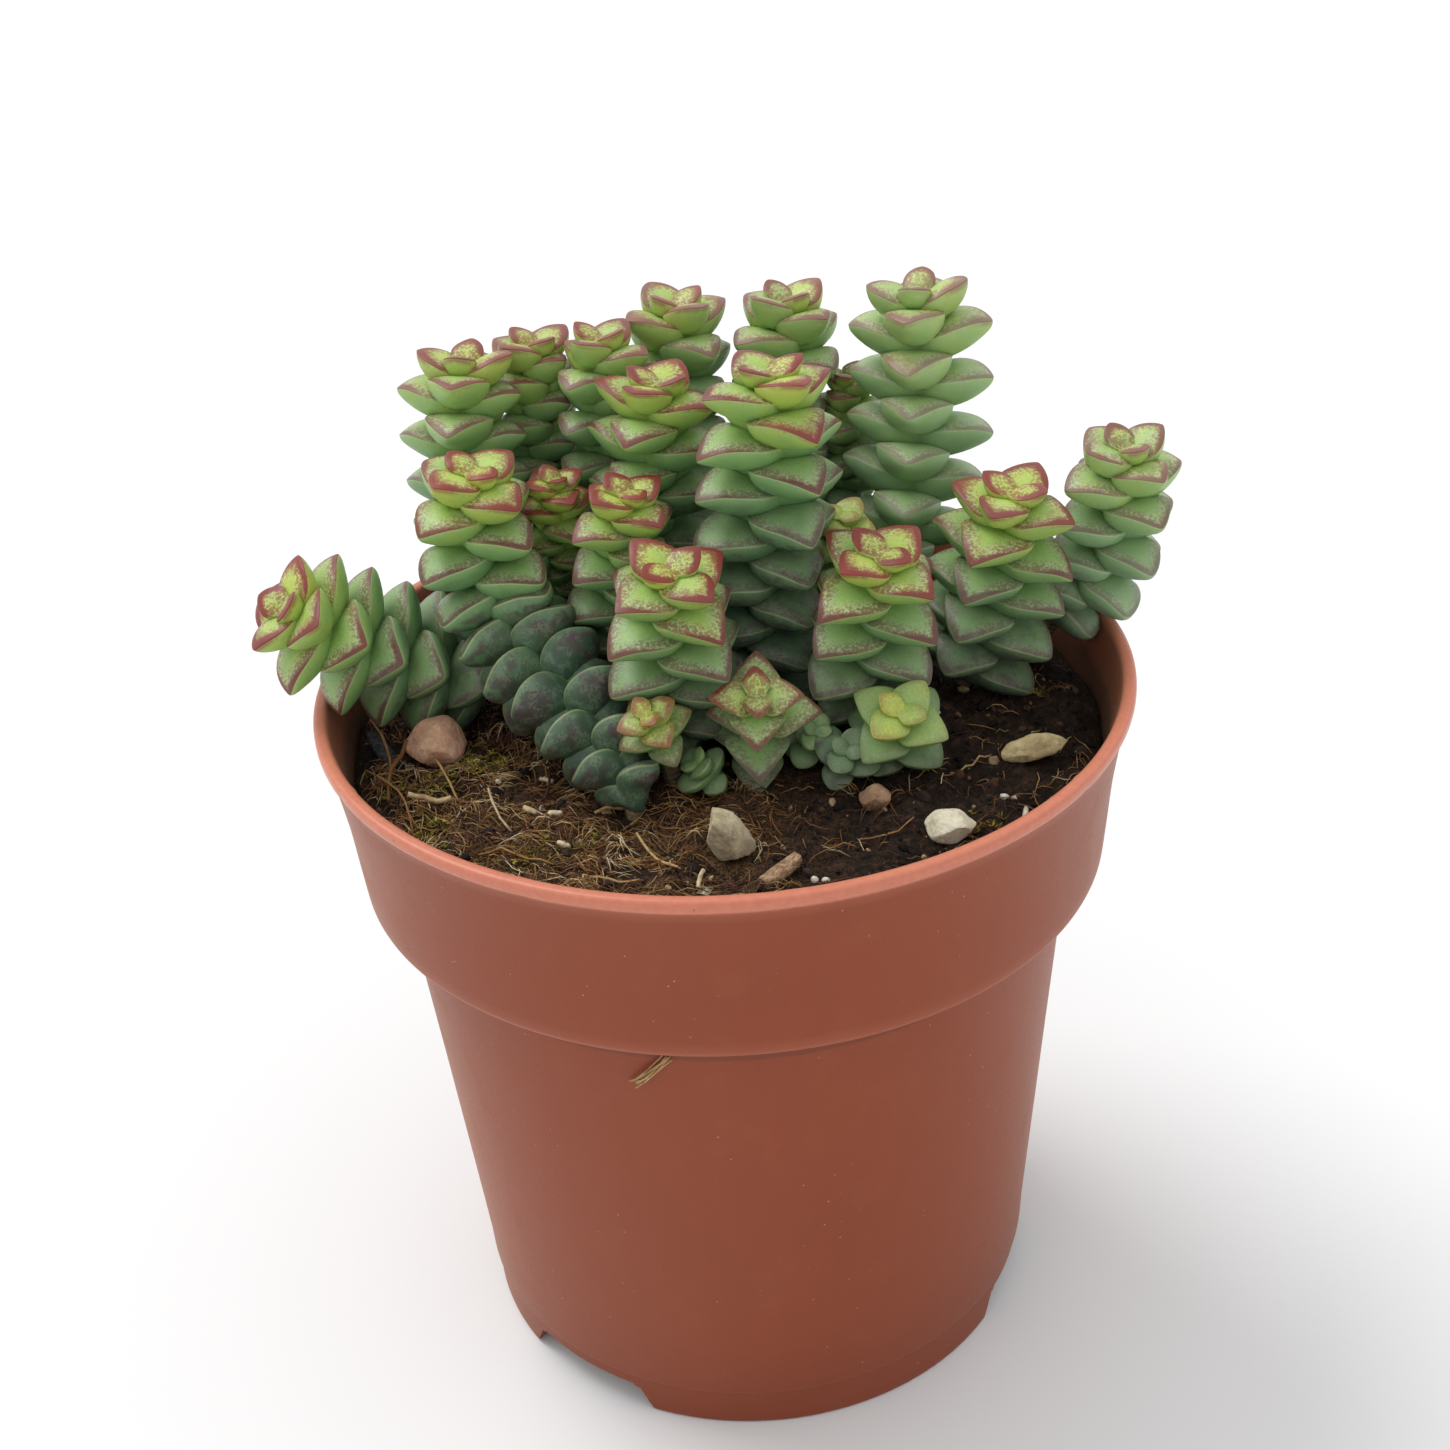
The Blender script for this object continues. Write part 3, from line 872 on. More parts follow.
POT_SEG = 320
NICKS = ((-117.5, 0.9, 0.22), (-83.0, 1.3, 0.16), (-79.5, 0.6, 0.12), (-38.0, 1.0, 0.14), (-152.0, 1.2, 0.12), (62.0, 1.1, 0.16))


def turned(profile, seg, shape=None):
    """Closed solid turned from a profile that starts and ends on the axis."""
    verts = [(0.0, 0.0, profile[0][1])]
    inner = profile[1:-1]
    for r, z, *_ in inner:
        for i in range(seg):
            t = math.tau * i / seg
            rr, zz = shape(r, z, t) if shape else (r, z)
            verts.append((rr * math.cos(t), rr * math.sin(t), zz))
    verts.append((0.0, 0.0, profile[-1][1]))
    faces = []
    for i in range(seg):
        faces.append((0, 1 + i, 1 + (i + 1) % seg))
    for k in range(len(inner) - 1):
        a, b = 1 + k * seg, 1 + (k + 1) * seg
        for i in range(seg):
            j = (i + 1) % seg
            faces.append((a + i, b + i, b + j, a + j))
    last = 1 + (len(inner) - 1) * seg
    for i in range(seg):
        faces.append((last + i, len(verts) - 1, last + (i + 1) % seg))
    values = [[profile[0][k] for _ in range(1)] for k in (2, 3)] if len(profile[0]) > 2 else []
    for n, k in enumerate((2, 3) if values else ()):
        for row in inner:
            values[n].extend([row[k]] * seg)
        values[n].append(profile[-1][k])
    return np.array(verts), faces, values


def pot_shape(r, z, t):
    """Small unevenness of a thin moulded wall, and the nicks in its rim."""
    d = 0.0
    if z > 6.0 and r > 30.0:
        d = 0.035 * math.sin(3 * t + 0.05 * z) + 0.02 * math.sin(7 * t - 0.09 * z + 1.0)
        d -= 0.055
    deg = math.degrees(t)
    drop = 0.0
    if z > 76.2 and r > 41.0:
        for at, half, deep in NICKS:
            k = (deg - at + 180.0) % 360.0 - 180.0
            if abs(k) < half:
                drop += deep * 0.5 * (1.0 + math.cos(math.pi * k / half))
        d -= drop
    return r + d, z - drop * 0.5


pv, pf, pval = turned(FINE_POT, POT_SEG, pot_shape)
pot_mesh = mesh_from("pot_shell", pv, pf, False, {"inside": pval[0], "bead": pval[1]})
bm = bmesh.new()
bm.from_mesh(pot_mesh)
bmesh.ops.recalc_face_normals(bm, faces=bm.faces)
bm.to_mesh(pot_mesh)
bm.free()
pot = put_object("pot_shell", pot_mesh, M_POT, ride=False)
cutters = []
for i, az in enumerate(NOTCH_AT):
    bm = bmesh.new()
    bmesh.ops.create_cube(bm, size=1.0)
    half = BASE_R * math.sin(math.radians(NOTCH_HALF))
    for v in bm.verts:
        top = v.co.z > 0
        x = (BASE_R - 4.5) if v.co.x < 0 else (BASE_R + 3.0)
        y = math.copysign(half - (1.6 if top else -0.9), v.co.y)
        v.co = Vector((x, y, NOTCH_H if top else -1.5)) * MM
    bmesh.ops.bevel(bm, geom=[e for e in bm.edges if all(w.co.z > 0 for w in e.verts) and abs(e.verts[0].co.y - e.verts[1].co.y) < 1e-6],
                    offset=0.5 * MM, segments=3, affect="EDGES")
    bm.transform(Matrix.Rotation(math.radians(az), 4, "Z"))
    me = bpy.data.meshes.new("notch_%d" % i)
    bm.to_mesh(me)
    bm.free()
    cutters.append(put_object("notch_%d" % i, me, ride=False))
for i in range(DRAIN_N):
    a = math.tau * (i + 0.25) / DRAIN_N
    bm = bmesh.new()
    bmesh.ops.create_cone(bm, cap_ends=True, segments=40, radius1=DRAIN_R * MM, radius2=DRAIN_R * MM, depth=6.0 * MM)
    bm.transform(Matrix.Translation((DRAIN_RING * math.cos(a) * MM, DRAIN_RING * math.sin(a) * MM, (FLOOR_Z + FLOOR_T / 2) * MM)))
    me = bpy.data.meshes.new("drain_%d" % i)
    bm.to_mesh(me)
    bm.free()
    cutters.append(put_object("drain_%d" % i, me, ride=False))
for c in cutters:
    m = pot.modifiers.new(c.name, "BOOLEAN")
    m.operation = "DIFFERENCE"
    m.solver = "EXACT"
    m.object = c
bpy.context.view_layer.update()
dg = bpy.context.evaluated_depsgraph_get()
cut_mesh = bpy.data.meshes.new_from_object(pot.evaluated_get(dg), depsgraph=dg)
pot.modifiers.clear()
pot.data = cut_mesh
for c in cutters:
    bpy.data.objects.remove(c, do_unlink=True)
pot.data.shade_smooth()
pot.data.set_sharp_from_angle(angle=math.radians(38.0))
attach(pot, "root")
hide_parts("pot")


# ---- soil ------------------------------------------------------------------------
def soil_height(x, y):
    r = np.hypot(x, y)
    h = SOIL_Z + 0.9 * (1.0 - (r / 38.0) ** 2) - 0.4
    h = h + 0.45 * np.sin(0.31 * x + 1.2) * np.cos(0.27 * y - 0.6)
    return h + 0.25 * np.sin(0.73 * x - 0.41 * y) + 0.2 * np.cos(0.55 * y + 0.62 * x + 2.0)


def rough(x, y):
    """Crumbly relief on top of the general height."""
    p = Vector((x * 0.42, y * 0.42, 3.1))
    q = Vector((x * 1.25, y * 1.25, 7.7))
    w = Vector((x * 2.9, y * 2.9, 1.7))
    return 0.85 * noise.noise(p) + 0.62 * (0.5 - abs(noise.noise(q))) + 0.26 * noise.noise(w) - 0.25


SOIL_R = 39.3
rings, seg = 96, 280
verts, faces = [(0.0, 0.0, float(soil_height(0.0, 0.0)) + rough(0.0, 0.0))], []
for k in range(1, rings + 1):
    r = SOIL_R * k / rings
    for i in range(seg):
        t = math.tau * i / seg
        x, y = r * math.cos(t), r * math.sin(t)
        fall = 0.9 * max(0.0, (r - 36.5) / 2.8) ** 2
        verts.append((x, y, float(soil_height(x, y)) + rough(x, y) - fall))
for r, z in ((39.1, 69.0), (38.65, 66.0), (38.2, 59.8), (34.75, 59.8), (30.15, 6.5), (28.0, 5.5)):
    for i in range(seg):
        t = math.tau * i / seg
        verts.append((r * math.cos(t), r * math.sin(t), z))
verts.append((0.0, 0.0, 5.5))
for i in range(seg):
    faces.append((0, 1 + i, 1 + (i + 1) % seg))
for k in range(rings + 5):
    a, b = 1 + k * seg, 1 + (k + 1) * seg
    for i in range(seg):
        j = (i + 1) % seg
        faces.append((a + i, b + i, b + j, a + j))
last = 1 + (rings + 5) * seg
for i in range(seg):
    faces.append((last + i, len(verts) - 1, last + (i + 1) % seg))
soil = put_object("soil_peat", mesh_from("soil_peat", np.array(verts), faces), M_SOIL)
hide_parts("soil")


def base_ball(sub):
    bm = bmesh.new()
    bmesh.ops.create_icosphere(bm, subdivisions=sub, radius=1.0)
    v = np.array([w.co for w in bm.verts])
    f = [tuple(w.index for w in p.verts) for p in bm.faces]
    bm.free()
    return v, f


BALL1 = base_ball(1)
BALL2 = base_ball(2)


def turn_matrix(rng):
    q = rng.normal(size=4)
    q /= np.linalg.norm(q)
    w, x, y, z = q
    return np.array([[1 - 2 * (y * y + z * z), 2 * (x * y - z * w), 2 * (x * z + y * w)],
                     [2 * (x * y + z * w), 1 - 2 * (x * x + z * z), 2 * (y * z - x * w)],
                     [2 * (x * z - y * w), 2 * (y * z + x * w), 1 - 2 * (x * x + y * y)]])


def lump(ball, rng, centre, half, uneven, kind):
    v, f = ball
    k = 1.0 + uneven * rng.uniform(-1.0, 1.0, len(v))
    p = (v * k[:, None]) * np.array(half) @ turn_matrix(rng).T + np.array(centre)
    return p, f, {"kind": np.full(len(v), kind)}


def disc_point(rng, r_max):
    r = r_max * math.sqrt(rng.uniform())
    t = rng.uniform(0.0, math.tau)
    return r * math.cos(t), r * math.sin(t)


def under_pieces(x, y, margin=0.4):
    """True where a stone or a chip lies."""
    for s in STONES:
        if math.hypot(x - s[1], y - s[2]) < max(s[3], s[4]) * 0.85 + margin:
            return True
    for b in BITS:
        if math.hypot(x - b[1], y - b[2]) < b[3] * 0.7 + margin:
            return True
    return False


def surface_z(x, y):
    r = math.hypot(x, y)
    return float(soil_height(x, y)) + rough(x, y) - 0.9 * max(0.0, (r - 36.5) / 2.8) ** 2


rng = np.random.default_rng(7)
parts = []
while len(parts) < 1900:
    x, y = disc_point(rng, 38.4)
    if under_pieces(x, y, 0.0):
        continue
    big = rng.uniform() < 0.09
    s = rng.uniform(0.50, 1.00) if big else rng.uniform(0.14, 0.50)
    if math.hypot(x, y) + s > 39.2:
        continue
    # darker and more even on the right
    kind = rng.uniform() ** (2.2 if x > 6.0 and y < 0.0 else 1.15)
    h = (s, s * rng.uniform(0.55, 0.95), s * rng.uniform(0.35, 0.75))
    parts.append(lump(BALL2 if (big and len(parts) % 2) else BALL1, rng, (x, y, surface_z(x, y) + 0.15 * s), h, 0.20, kind))
v, f, a = gather(parts)
o = put_object("soil_crumbs", mesh_from("soil_crumbs", v, f, False, a), M_CRUMB)


# ---- fibres, moss, perlite --------------------------------------------------------
def strand(points, radii, sides, kind):
    """Closed thin tube through points."""
    pts = [Vector(p) for p in points]
    n = len(pts)
    verts, faces = [], []
    up = Vector((0.13, 0.21, 1.0)).normalized()
    for i, p in enumerate(pts):
        t = (pts[min(i + 1, n - 1)] - pts[max(i - 1, 0)]).normalized()
        x = t.cross(up)
        if x.length < 1e-4:
            x = t.cross(Vector((1.0, 0.0, 0.0)))
        x.normalize()
        y = t.cross(x)
        for k in range(sides):
            a = math.tau * k / sides
            verts.append(tuple(p + (x * math.cos(a) + y * math.sin(a)) * radii[i]))
    for i in range(n - 1):
        for k in range(sides):
            j = (k + 1) % sides
            faces.append((i * sides + k, i * sides + j, (i + 1) * sides + j, (i + 1) * sides + k))
    faces.append(tuple(reversed(range(sides))))
    faces.append(tuple((n - 1) * sides + k for k in range(sides)))
    return np.array(verts), faces, {"kind": np.full(len(verts), kind)}


def lying_fibre(rng, x, y, length, thick, curl, lift, kind, n=9):
    """A fibre that lies on the soil, with its ends on it and its middle a bit up."""
    a = rng.uniform(0.0, math.tau)
    bend = rng.normal() * curl
    pts, radii = [], []
    step = length / (n - 1)
    for i in range(n):
        r = math.hypot(x, y)
        if r > 38.7:
            x, y = x * 38.7 / r, y * 38.7 / r
        hump = lift * math.sin(math.pi * i / (n - 1))
        pts.append((x, y, surface_z(x, y) + thick * 0.7 + hump))
        radii.append(thick * (0.55 + 0.45 * math.sin(math.pi * (i + 0.6) / (n + 0.2))))
        a += bend / n + rng.normal() * curl * 0.35
        x += math.cos(a) * step
        y += math.sin(a) * step
    return strand(pts, radii, 5, kind)


def combed_fibre(rng, x, y, a, length, thick, lift, kind):
    """Fine fibre, nearly straight, that runs over the crumbs."""
    n = 4
    step = length / (n - 1)
    turn = rng.normal() * 0.22
    x, y = x - math.cos(a) * length * 0.5, y - math.sin(a) * length * 0.5
    tilt = rng.uniform(-0.35, 0.35)
    pts, radii = [], []
    for i in range(n):
        r = math.hypot(x, y)
        if r > 38.7:
            x, y = x * 38.7 / r, y * 38.7 / r
        u = i / (n - 1)
        pts.append((x, y, surface_z(x, y) + thick + lift * (math.sin(math.pi * (0.15 + 0.70 * u)) + tilt * (u - 0.5))))
        radii.append(thick * (0.5 + 0.5 * math.sin(math.pi * (i + 0.5) / n)))
        a += turn + rng.normal() * 0.13
        x += math.cos(a) * step
        y += math.sin(a) * step
    return strand(pts, radii, 4, kind)


parts = []
rng = np.random.default_rng(11)
# tufts of peat fibre: thick on the front and left, sparse on the right
tufts = []
while len(tufts) < 400:
    x, y = disc_point(rng, 38.2)
    az = math.degrees(math.atan2(y, x)) % 360.0
    r = math.hypot(x, y)
    thick_side = 150.0 < az < 280.0 and r > 14.0
    keep = 1.0 if thick_side else (0.30 if 280.0 <= az < 350.0 else 0.22)
    if rng.uniform() > keep or under_pieces(x, y, 0.1):
        continue
    tufts.append((x, y, r, az, thick_side))
for x, y, r, az, thick_side in tufts:
    # most lie along the wall when close to it
    a0 = math.radians(az + 90.0) + rng.normal() * 0.45 if r > 30.0 else rng.uniform(0.0, math.tau)
    base = rng.uniform() ** (0.66 if thick_side else 1.7)
    spread = rng.uniform(0.7, 1.7)
    for _ in range(int(rng.integers(13, 23)) if thick_side else int(rng.integers(4, 10))):
        px, py = x + rng.normal() * spread, y + rng.normal() * spread
        if math.hypot(px, py) > 38.5 or under_pieces(px, py, -0.2):
            continue
        kind = min(1.0, max(0.0, base * 0.88 + rng.normal() * 0.17))
        parts.append(combed_fibre(rng, px, py, a0 + rng.normal() * 0.42, rng.uniform(0.9, 3.6), rng.uniform(0.026, 0.066), rng.uniform(0.05, 0.85), kind))
v, f, a = gather(parts)
o = put_object("soil_fibres", mesh_from("soil_fibres", v, f, True, a), M_FIBRE)

# coarser straw and chips, most of it between the leaves and the left wall
STRAW = (   # both ends, thickness, height above the soil at each end, shade
    (-32.2, -13.5, -27.9, -13.9, 0.34, 0.5, 0.6, 0.93), (-30.1, -7.2, -27.2, -13.3, 0.15, 1.5, 0.3, 0.80),
    (-34.4, -12.5, -33.1, -4.5, 0.24, 0.4, 2.2, 0.46), (-24.2, -13.2, -21.7, -19.2, 0.14, 1.0, 0.3, 0.95),
    (-19.7, -18.0, -18.2, -10.4, 0.16, 0.3, 1.2, 0.16), (-13.5, -17.6, -9.8, -16.6, 0.20, 0.6, 0.5, 0.84),
    (-9.3, -22.5, -5.2, -28.7, 0.15, 0.8, 0.4, 0.86), (-17.9, -18.6, -16.6, -18.2, 0.30, 0.6, 0.5, 1.00),
    (-16.9, -23.2, -15.8, -23.0, 0.28, 0.7, 0.6, 1.00), (-20.5, -16.5, -19.2, -17.3, 0.34, 0.6, 0.4, 0.94),
    (-19.3, -10.3, -17.9, -11.0, 0.26, 0.6, 0.5, 0.97), (-37.6, 1.5, -34.6, -8.0, 0.15, 2.2, 0.4, 0.72),
    (-37.2, -7.6, -31.5, -17.8, 0.13, 1.6, 0.3, 0.62), (-14.6, -27.4, -9.0, -30.2, 0.13, 0.5, 0.5, 0.78),
    (-24.6, -22.8, -17.2, -26.0, 0.12, 0.6, 0.6, 0.70), (-3.6, -30.9, -3.0, -29.4, 0.26, 0.4, 0.9, 0.98),
    (22.0, -14.0, 26.5, -11.0, 0.11, 0.4, 0.6, 0.88), (12.0, -24.6, 17.4, -22.8, 0.10, 0.3, 0.4, 0.70),
)
parts = []
rng = np.random.default_rng(12)
for x0, y0, x1, y1, thick, h0, h1, kind in STRAW:
    n = 7
    side = rng.normal() * 0.10
    pts, radii = [], []
    for i in range(n):
        u = i / (n - 1)
        bow = side * math.sin(math.pi * u) * math.hypot(x1 - x0, y1 - y0)
        length = math.hypot(x1 - x0, y1 - y0)
        x = x0 + (x1 - x0) * u - (y1 - y0) / length * bow
        y = y0 + (y1 - y0) * u + (x1 - x0) / length * bow
        r = math.hypot(x, y)
        if r > 38.5:
            x, y = x * 38.5 / r, y * 38.5 / r
        pts.append((x, y, surface_z(x, y) + thick + h0 + (h1 - h0) * u))
        radii.append(thick * (0.72 + 0.28 * math.sin(math.pi * (i + 0.7) / (n + 0.4))) * rng.uniform(0.85, 1.12))
    parts.append(strand(pts, radii, 6, kind))
v, f, a = gather(parts)
o = put_object("coarse_straw", mesh_from("coarse_straw", v, f, True, a), M_FIBRE)

parts = []
rng = np.random.default_rng(13)
for cx, cy, spread, count in ((-30.4, -17.0, 2.6, 70), (-29.8, -10.8, 2.2, 44), (-27.4, -6.6, 2.6, 70), (-24.2, -5.8, 2.4, 54), (-33.5, -10.0, 1.8, 22),
                              (-14.8, -23.4, 2.6, 26), (-20.0, -24.0, 2.6, 24), (24.0, -24.5, 2.2, 12), (33.0, 2.0, 2.2, 14), (8.0, 33.5, 3.0, 30), (-14.0, 33.0, 2.5, 24)):
    for _ in range(count):
        x, y = cx + rng.normal() * spread * 0.5, cy + rng.normal() * spread * 0.5
        if math.hypot(x, y) > 38.3 or under_pieces(x, y, 0.2):
            continue
        kind = rng.uniform()
        z = surface_z(x, y)
        for _ in range(6):
            a1 = rng.uniform(0.0, math.tau)
            out = rng.uniform(0.15, 0.70)
            tall = rng.uniform(0.15, 0.55)
            p0 = (x, y, z - 0.1)
            p1 = (x + math.cos(a1) * out * 0.5, y + math.sin(a1) * out * 0.5, z + tall * 0.7)
            p2 = (x + math.cos(a1 + 0.5) * out, y + math.sin(a1 + 0.5) * out, z + tall)
            parts.append(strand((p0, p1, p2), (0.055, 0.080, 0.025), 4, min(1.0, max(0.0, kind + rng.uniform(-0.2, 0.2)))))
v, f, a = gather(parts)
o = put_object("moss_tufts", mesh_from("moss_tufts", v, f, True, a), M_MOSS)

parts = []
rng = np.random.default_rng(17)
spots = [(7.3, -30.4, 0.55), (8.3, -31.0, 0.42), (-3.0, -30.9, 0.60), (26.7, -19.1, 0.5), (27.8, -18.0, 0.4), (-22.5, 2.6, 0.4), (-21.4, 3.3, 0.3)]
while len(spots) < 22:
    x, y = disc_point(rng, 37.8)
    if not under_pieces(x, y, 0.2):
        spots.append((x, y, rng.uniform(0.22, 0.5)))
for x, y, s in spots:
    parts.append(lump(BALL2, rng, (x, y, surface_z(x, y) + 0.25 * s), (s, s * 0.85, s * 0.7), 0.10, 0.5))
v, f, a = gather(parts)
o = put_object("perlite_grains", mesh_from("perlite_grains", v, f, True, a), M_PERLITE)


# ---- stones and bits ---------------------------------------------------------------
STONE_LOOK = {
    "stone_notched_pink": ((0.74, 0.54, 0.38), (0.56, 0.33, 0.21), (0.30, 0.16, 0.10), (0.60, 0.25, 0.17), 0.60, "stone_pink"),
    "stone_pale_wedge": ((0.64, 0.58, 0.42), (0.44, 0.38, 0.25), (0.21, 0.17, 0.11), (0.46, 0.38, 0.22), 0.45, "stone_cream"),
    "stone_small_brown": ((0.44, 0.29, 0.17), (0.28, 0.17, 0.10), (0.12, 0.07, 0.04), (0.20, 0.12, 0.07), 0.45, "stone_pink"),
    "stone_long_cream": ((0.72, 0.62, 0.36), (0.50, 0.40, 0.20), (0.27, 0.21, 0.12), (0.42, 0.34, 0.16), 0.45, "stone_cream"),
    "stone_flat_cream": ((0.80, 0.76, 0.62), (0.66, 0.61, 0.46), (0.36, 0.31, 0.21), (0.58, 0.50, 0.32), 0.30, "stone_cream"),
}


def stone_points(v, half, seed):
    """The CAD stone's form for directions v, with flats and fine relief."""
    n = v / np.linalg.norm(v, axis=1)[:, None]
    k = 1.0 + 0.09 * np.sin(3.1 * n[:, 0] + seed) + 0.07 * np.cos(4.3 * n[:, 1] - 1.7 * seed) + 0.05 * np.sin(5.2 * n[:, 2] + 2.3 * seed)
    if seed == 1:
        k = k - 0.20 * np.exp(-((n[:, 0] + 0.05) / 0.22) ** 2) * np.maximum(0.0, n[:, 1])
    if seed == 2:
        k = k * (1.0 - 0.22 * np.maximum(0.0, n[:, 2]))
    if seed == 4:
        k = k * (1.0 - 0.16 * np.maximum(0.0, -n[:, 0]))
    p = n * np.array(half) * k[:, None]
    if seed == 2:
        p[:, 0] -= 0.42 * p[:, 2]
    r = np.random.default_rng(50 + seed)
    cuts = {1: 7, 2: 12, 3: 10, 4: 9, 5: 8}[seed]
    deep = {1: 0.90, 2: 0.80, 3: 0.84, 4: 0.86, 5: 0.86}[seed]
    size = np.array(half)
    for _ in range(cuts):
        d = r.normal(size=3)
        d /= np.linalg.norm(d)
        reach = np.abs(d * size).sum() * 0.62
        reach = np.linalg.norm(d * size) * deep * r.uniform(0.92, 1.04)
        over = p @ d - reach
        p = p - np.maximum(0.0, over)[:, None] * d * 0.92
    fine = np.array([noise.noise(Vector(q) * 0.9 + Vector((seed * 3.1, 0, 0))) * 0.10 + noise.noise(Vector(q) * 2.6) * 0.045 for q in p])
    return p + n * fine[:, None] - n * 0.05


BALL5 = base_ball(5)
for name, x, y, hx, hy, hz, turn, sink, seed in STONES:
    p = stone_points(BALL5[0], (hx, hy, hz), seed)
    c, s = math.cos(math.radians(turn)), math.sin(math.radians(turn))
    p = p @ np.array([[c, s, 0], [-s, c, 0], [0, 0, 1]]) + np.array([x, y, float(soil_height(x, y)) + hz - sink])
    look = STONE_LOOK[name]
    me = mesh_from(name + "_form", p, BALL5[1])
    me.set_sharp_from_angle(angle=math.radians(34.0))
    o = put_object(name + "_form", me, stone_material(name + "_look", *look[:5]))
    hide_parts(name)

BIT_LOOK = {"wood_chip": ((0.46, 0.31, 0.19), (0.17, 0.095, 0.05), 30, 12, 6),
            "bark_strip": ((0.075, 0.070, 0.075), (0.014, 0.012, 0.014), 40, 10, 6),
            "white_stick": ((0.80, 0.74, 0.60), (0.46, 0.38, 0.26), 24, 8, 8)}
for name, x, y, hl, hw, hh, turn, tilt in BITS:
    light, dark, nx, ny, nz = BIT_LOOK[name]
    bm = bmesh.new()
    bmesh.ops.create_cube(bm, size=2.0)
    bmesh.ops.subdivide_edges(bm, edges=[e for e in bm.edges if abs(e.verts[0].co.x - e.verts[1].co.x) > 1], cuts=nx, use_grid_fill=True)
    bmesh.ops.subdivide_edges(bm, edges=[e for e in bm.edges if abs(e.verts[0].co.y - e.verts[1].co.y) > 1], cuts=ny, use_grid_fill=True)
    bmesh.ops.subdivide_edges(bm, edges=[e for e in bm.edges if abs(e.verts[0].co.z - e.verts[1].co.z) > 1], cuts=nz, use_grid_fill=True)
    for v in bm.verts:
        px, py, pz = v.co
        round_off = math.sqrt(max(0.0, 1.0 - 0.5 * pz * pz)) if name != "white_stick" else 1.0
        if name == "white_stick":
            m = max(abs(py), abs(pz))
            rr = math.hypot(py, pz)
            if rr > 1e-6:
                py, pz = py / rr * m, pz / rr * m
            round_off = 1.0
        w = 1.0 - 0.35 * abs(px) ** 2
        ragged = 1.0 - 0.10 * (0.5 + 0.5 * noise.noise(Vector((py * 3.0, pz * 2.0, px * 0.5 + hl)))) * abs(px) ** 3
        q = Vector((px * hl * ragged, py * hw * w * round_off, pz * hh * (1.0 - 0.2 * abs(px)) + 0.12 * hl * px * px))
        groove = noise.noise(Vector((px * 1.3 + hl, py * 5.0, pz * 5.0)))
        q.z += 0.10 * hh * groove * (1.0 - abs(px) * 0.3)
        q.y += 0.06 * hw * noise.noise(Vector((px * 4.0, py, pz * 3.0 + 5.0)))
        v.co = q * MM
    bm.transform(Matrix.Translation(Vector((x * MM, y * MM, (float(soil_height(x, y)) + hh * 0.35) * MM)))
                 @ Matrix.Rotation(math.radians(turn), 4, "Z") @ Matrix.Rotation(math.radians(tilt), 4, "Y"))
    me = bpy.data.meshes.new(name + "_form")
    bm.to_mesh(me)
    bm.free()
    me.shade_smooth()
    me.set_sharp_from_angle(angle=math.radians(50.0))
    o = put_object(name + "_form", me, wood_material(name + "_look", light, dark))
    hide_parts(name)


# ---- a wisp of straw caught under the collar ----------------------------------------
def on_body(az, z, off):
    """Point on the outside of the pot's body at an azimuth and a height."""
    r = BASE_R + 0.5 + (BODY_R - BASE_R - 0.5) * (z - 5.15) / (57.6 - 5.15) + off
    return (r * math.cos(math.radians(az)), r * math.sin(math.radians(az)), z)


rng = np.random.default_rng(23)
parts = []
for i in range(9):
    a0, a1 = -108.1 + rng.uniform(-0.8, 0.8), -101.9 + rng.uniform(-0.9, 0.9)
    z0, z1 = 51.3 + rng.uniform(-0.5, 0.5), 55.6 + rng.uniform(-0.6, 0.5)
    bow = rng.uniform(0.2, 1.4)
    pts, radii = [], []
    for k in range(12):
        t = k / 11.0
        az = a0 + (a1 - a0) * t
        z = z0 + (z1 - z0) * (t ** 1.25) + bow * math.sin(math.pi * t) * 0.35
        pts.append(on_body(az, z, 0.16 + 0.5 * math.sin(math.pi * t) * rng.uniform(0.5, 1.0)))
        radii.append(0.085 * (0.4 + 0.6 * math.sin(math.pi * (t * 0.9 + 0.05))))
    parts.append(strand(pts, radii, 5, 0.72 + 0.2 * rng.uniform()))
v, f, a = gather(parts)
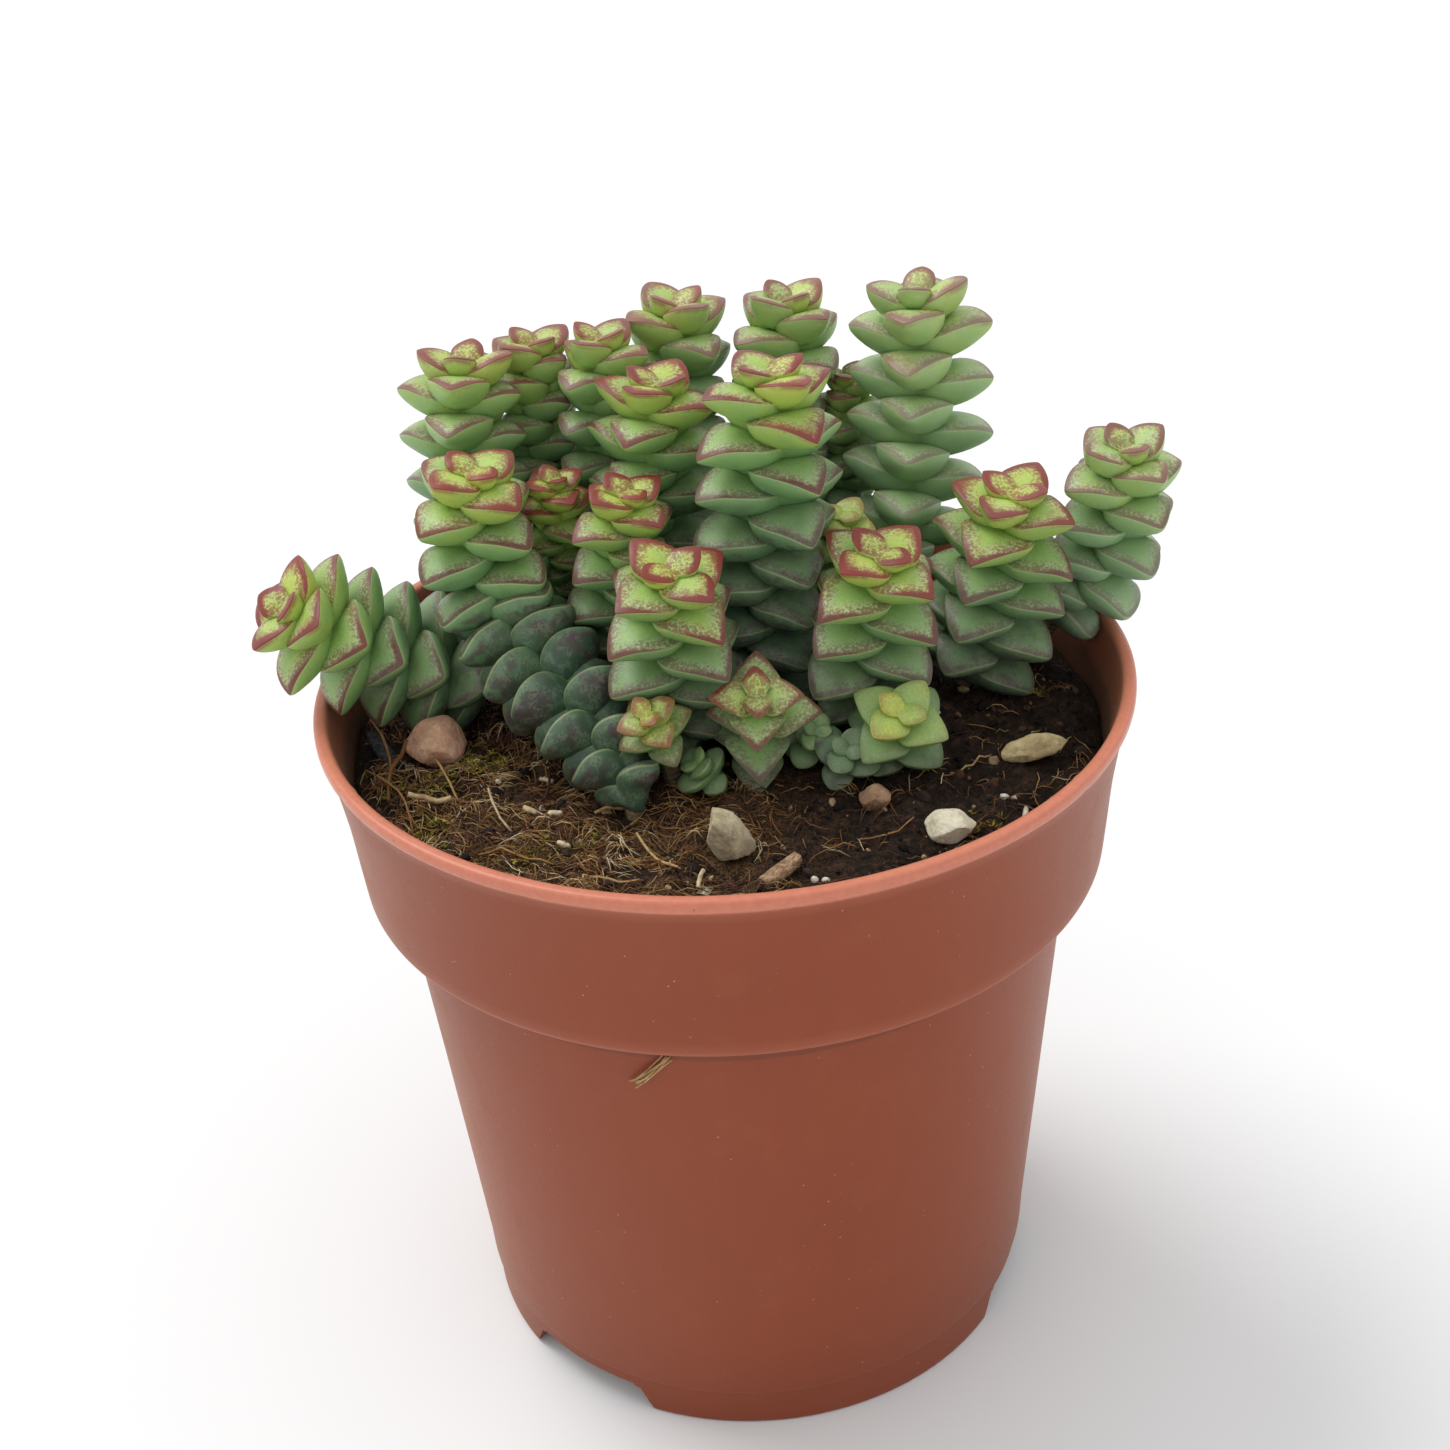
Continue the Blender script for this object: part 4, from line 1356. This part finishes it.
o = put_object("straw_on_collar", mesh_from("straw_on_collar", v, f, True, a), M_FIBRE)

# ---- camera, floor and light ----------------------------------------------------------
cam_data = bpy.data.cameras.new("camera")
cam = bpy.data.objects.new("camera", cam_data)
scene.collection.objects.link(cam)
cam_data.sensor_width = 36.0
cam_data.lens = 51.6130
cam_data.clip_start = 0.005
cam_data.clip_end = 20.0
right = Vector((0.99803, -0.03177, -0.05406))
up = Vector((0.06271, 0.50569, 0.86043))
back = -Vector((0.0, 0.86213, -0.50669))
at = Vector((-0.000159, -0.189982, 0.182403))
cam.matrix_world = Matrix(((right.x, up.x, back.x, at.x), (right.y, up.y, back.y, at.y), (right.z, up.z, back.z, at.z), (0, 0, 0, 1)))
scene.camera = cam

g = Graph("pale_floor", 0.85, 0.2)
g.set("Base Color", g.mix(g.noise(0.004, 2.0), (0.785, 0.80, 0.81), (0.805, 0.82, 0.83)))
fm = bpy.data.meshes.new("floor")
fm.from_pydata([(-4, -4, 0), (4, -4, 0), (4, 4, 0), (-4, 4, 0)], [], [(0, 1, 2, 3)])
floor = put_object("floor", fm, g.mat, ride=False)
floor.location = (0.0, 0.0, -0.00003)
floor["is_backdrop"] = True

world = bpy.data.worlds.new("studio")
scene.world = world
world.use_nodes = True
bg = world.node_tree.nodes["Background"]
bg.inputs["Color"].default_value = (1.0, 1.0, 1.0, 1.0)
bg.inputs["Strength"].default_value = 0.92

sun_data = bpy.data.lights.new("key", "SUN")
sun_data.energy = 1.62
sun_data.angle = math.radians(34.0)
sun_data.color = (1.0, 0.985, 0.96)
sun = bpy.data.objects.new("key", sun_data)
sun.rotation_mode = "QUATERNION"
sun.rotation_quaternion = Vector((-0.50, 0.42, 0.95)).normalized().to_track_quat("Z", "Y")
scene.collection.objects.link(sun)

scene.view_settings.view_transform = "Standard"

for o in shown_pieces():
    if o.type == "MESH":
        o.data.calc_loop_triangles()
        if len(o.data.loop_triangles) > 100000:
            print("heavy piece", o.name, len(o.data.loop_triangles))
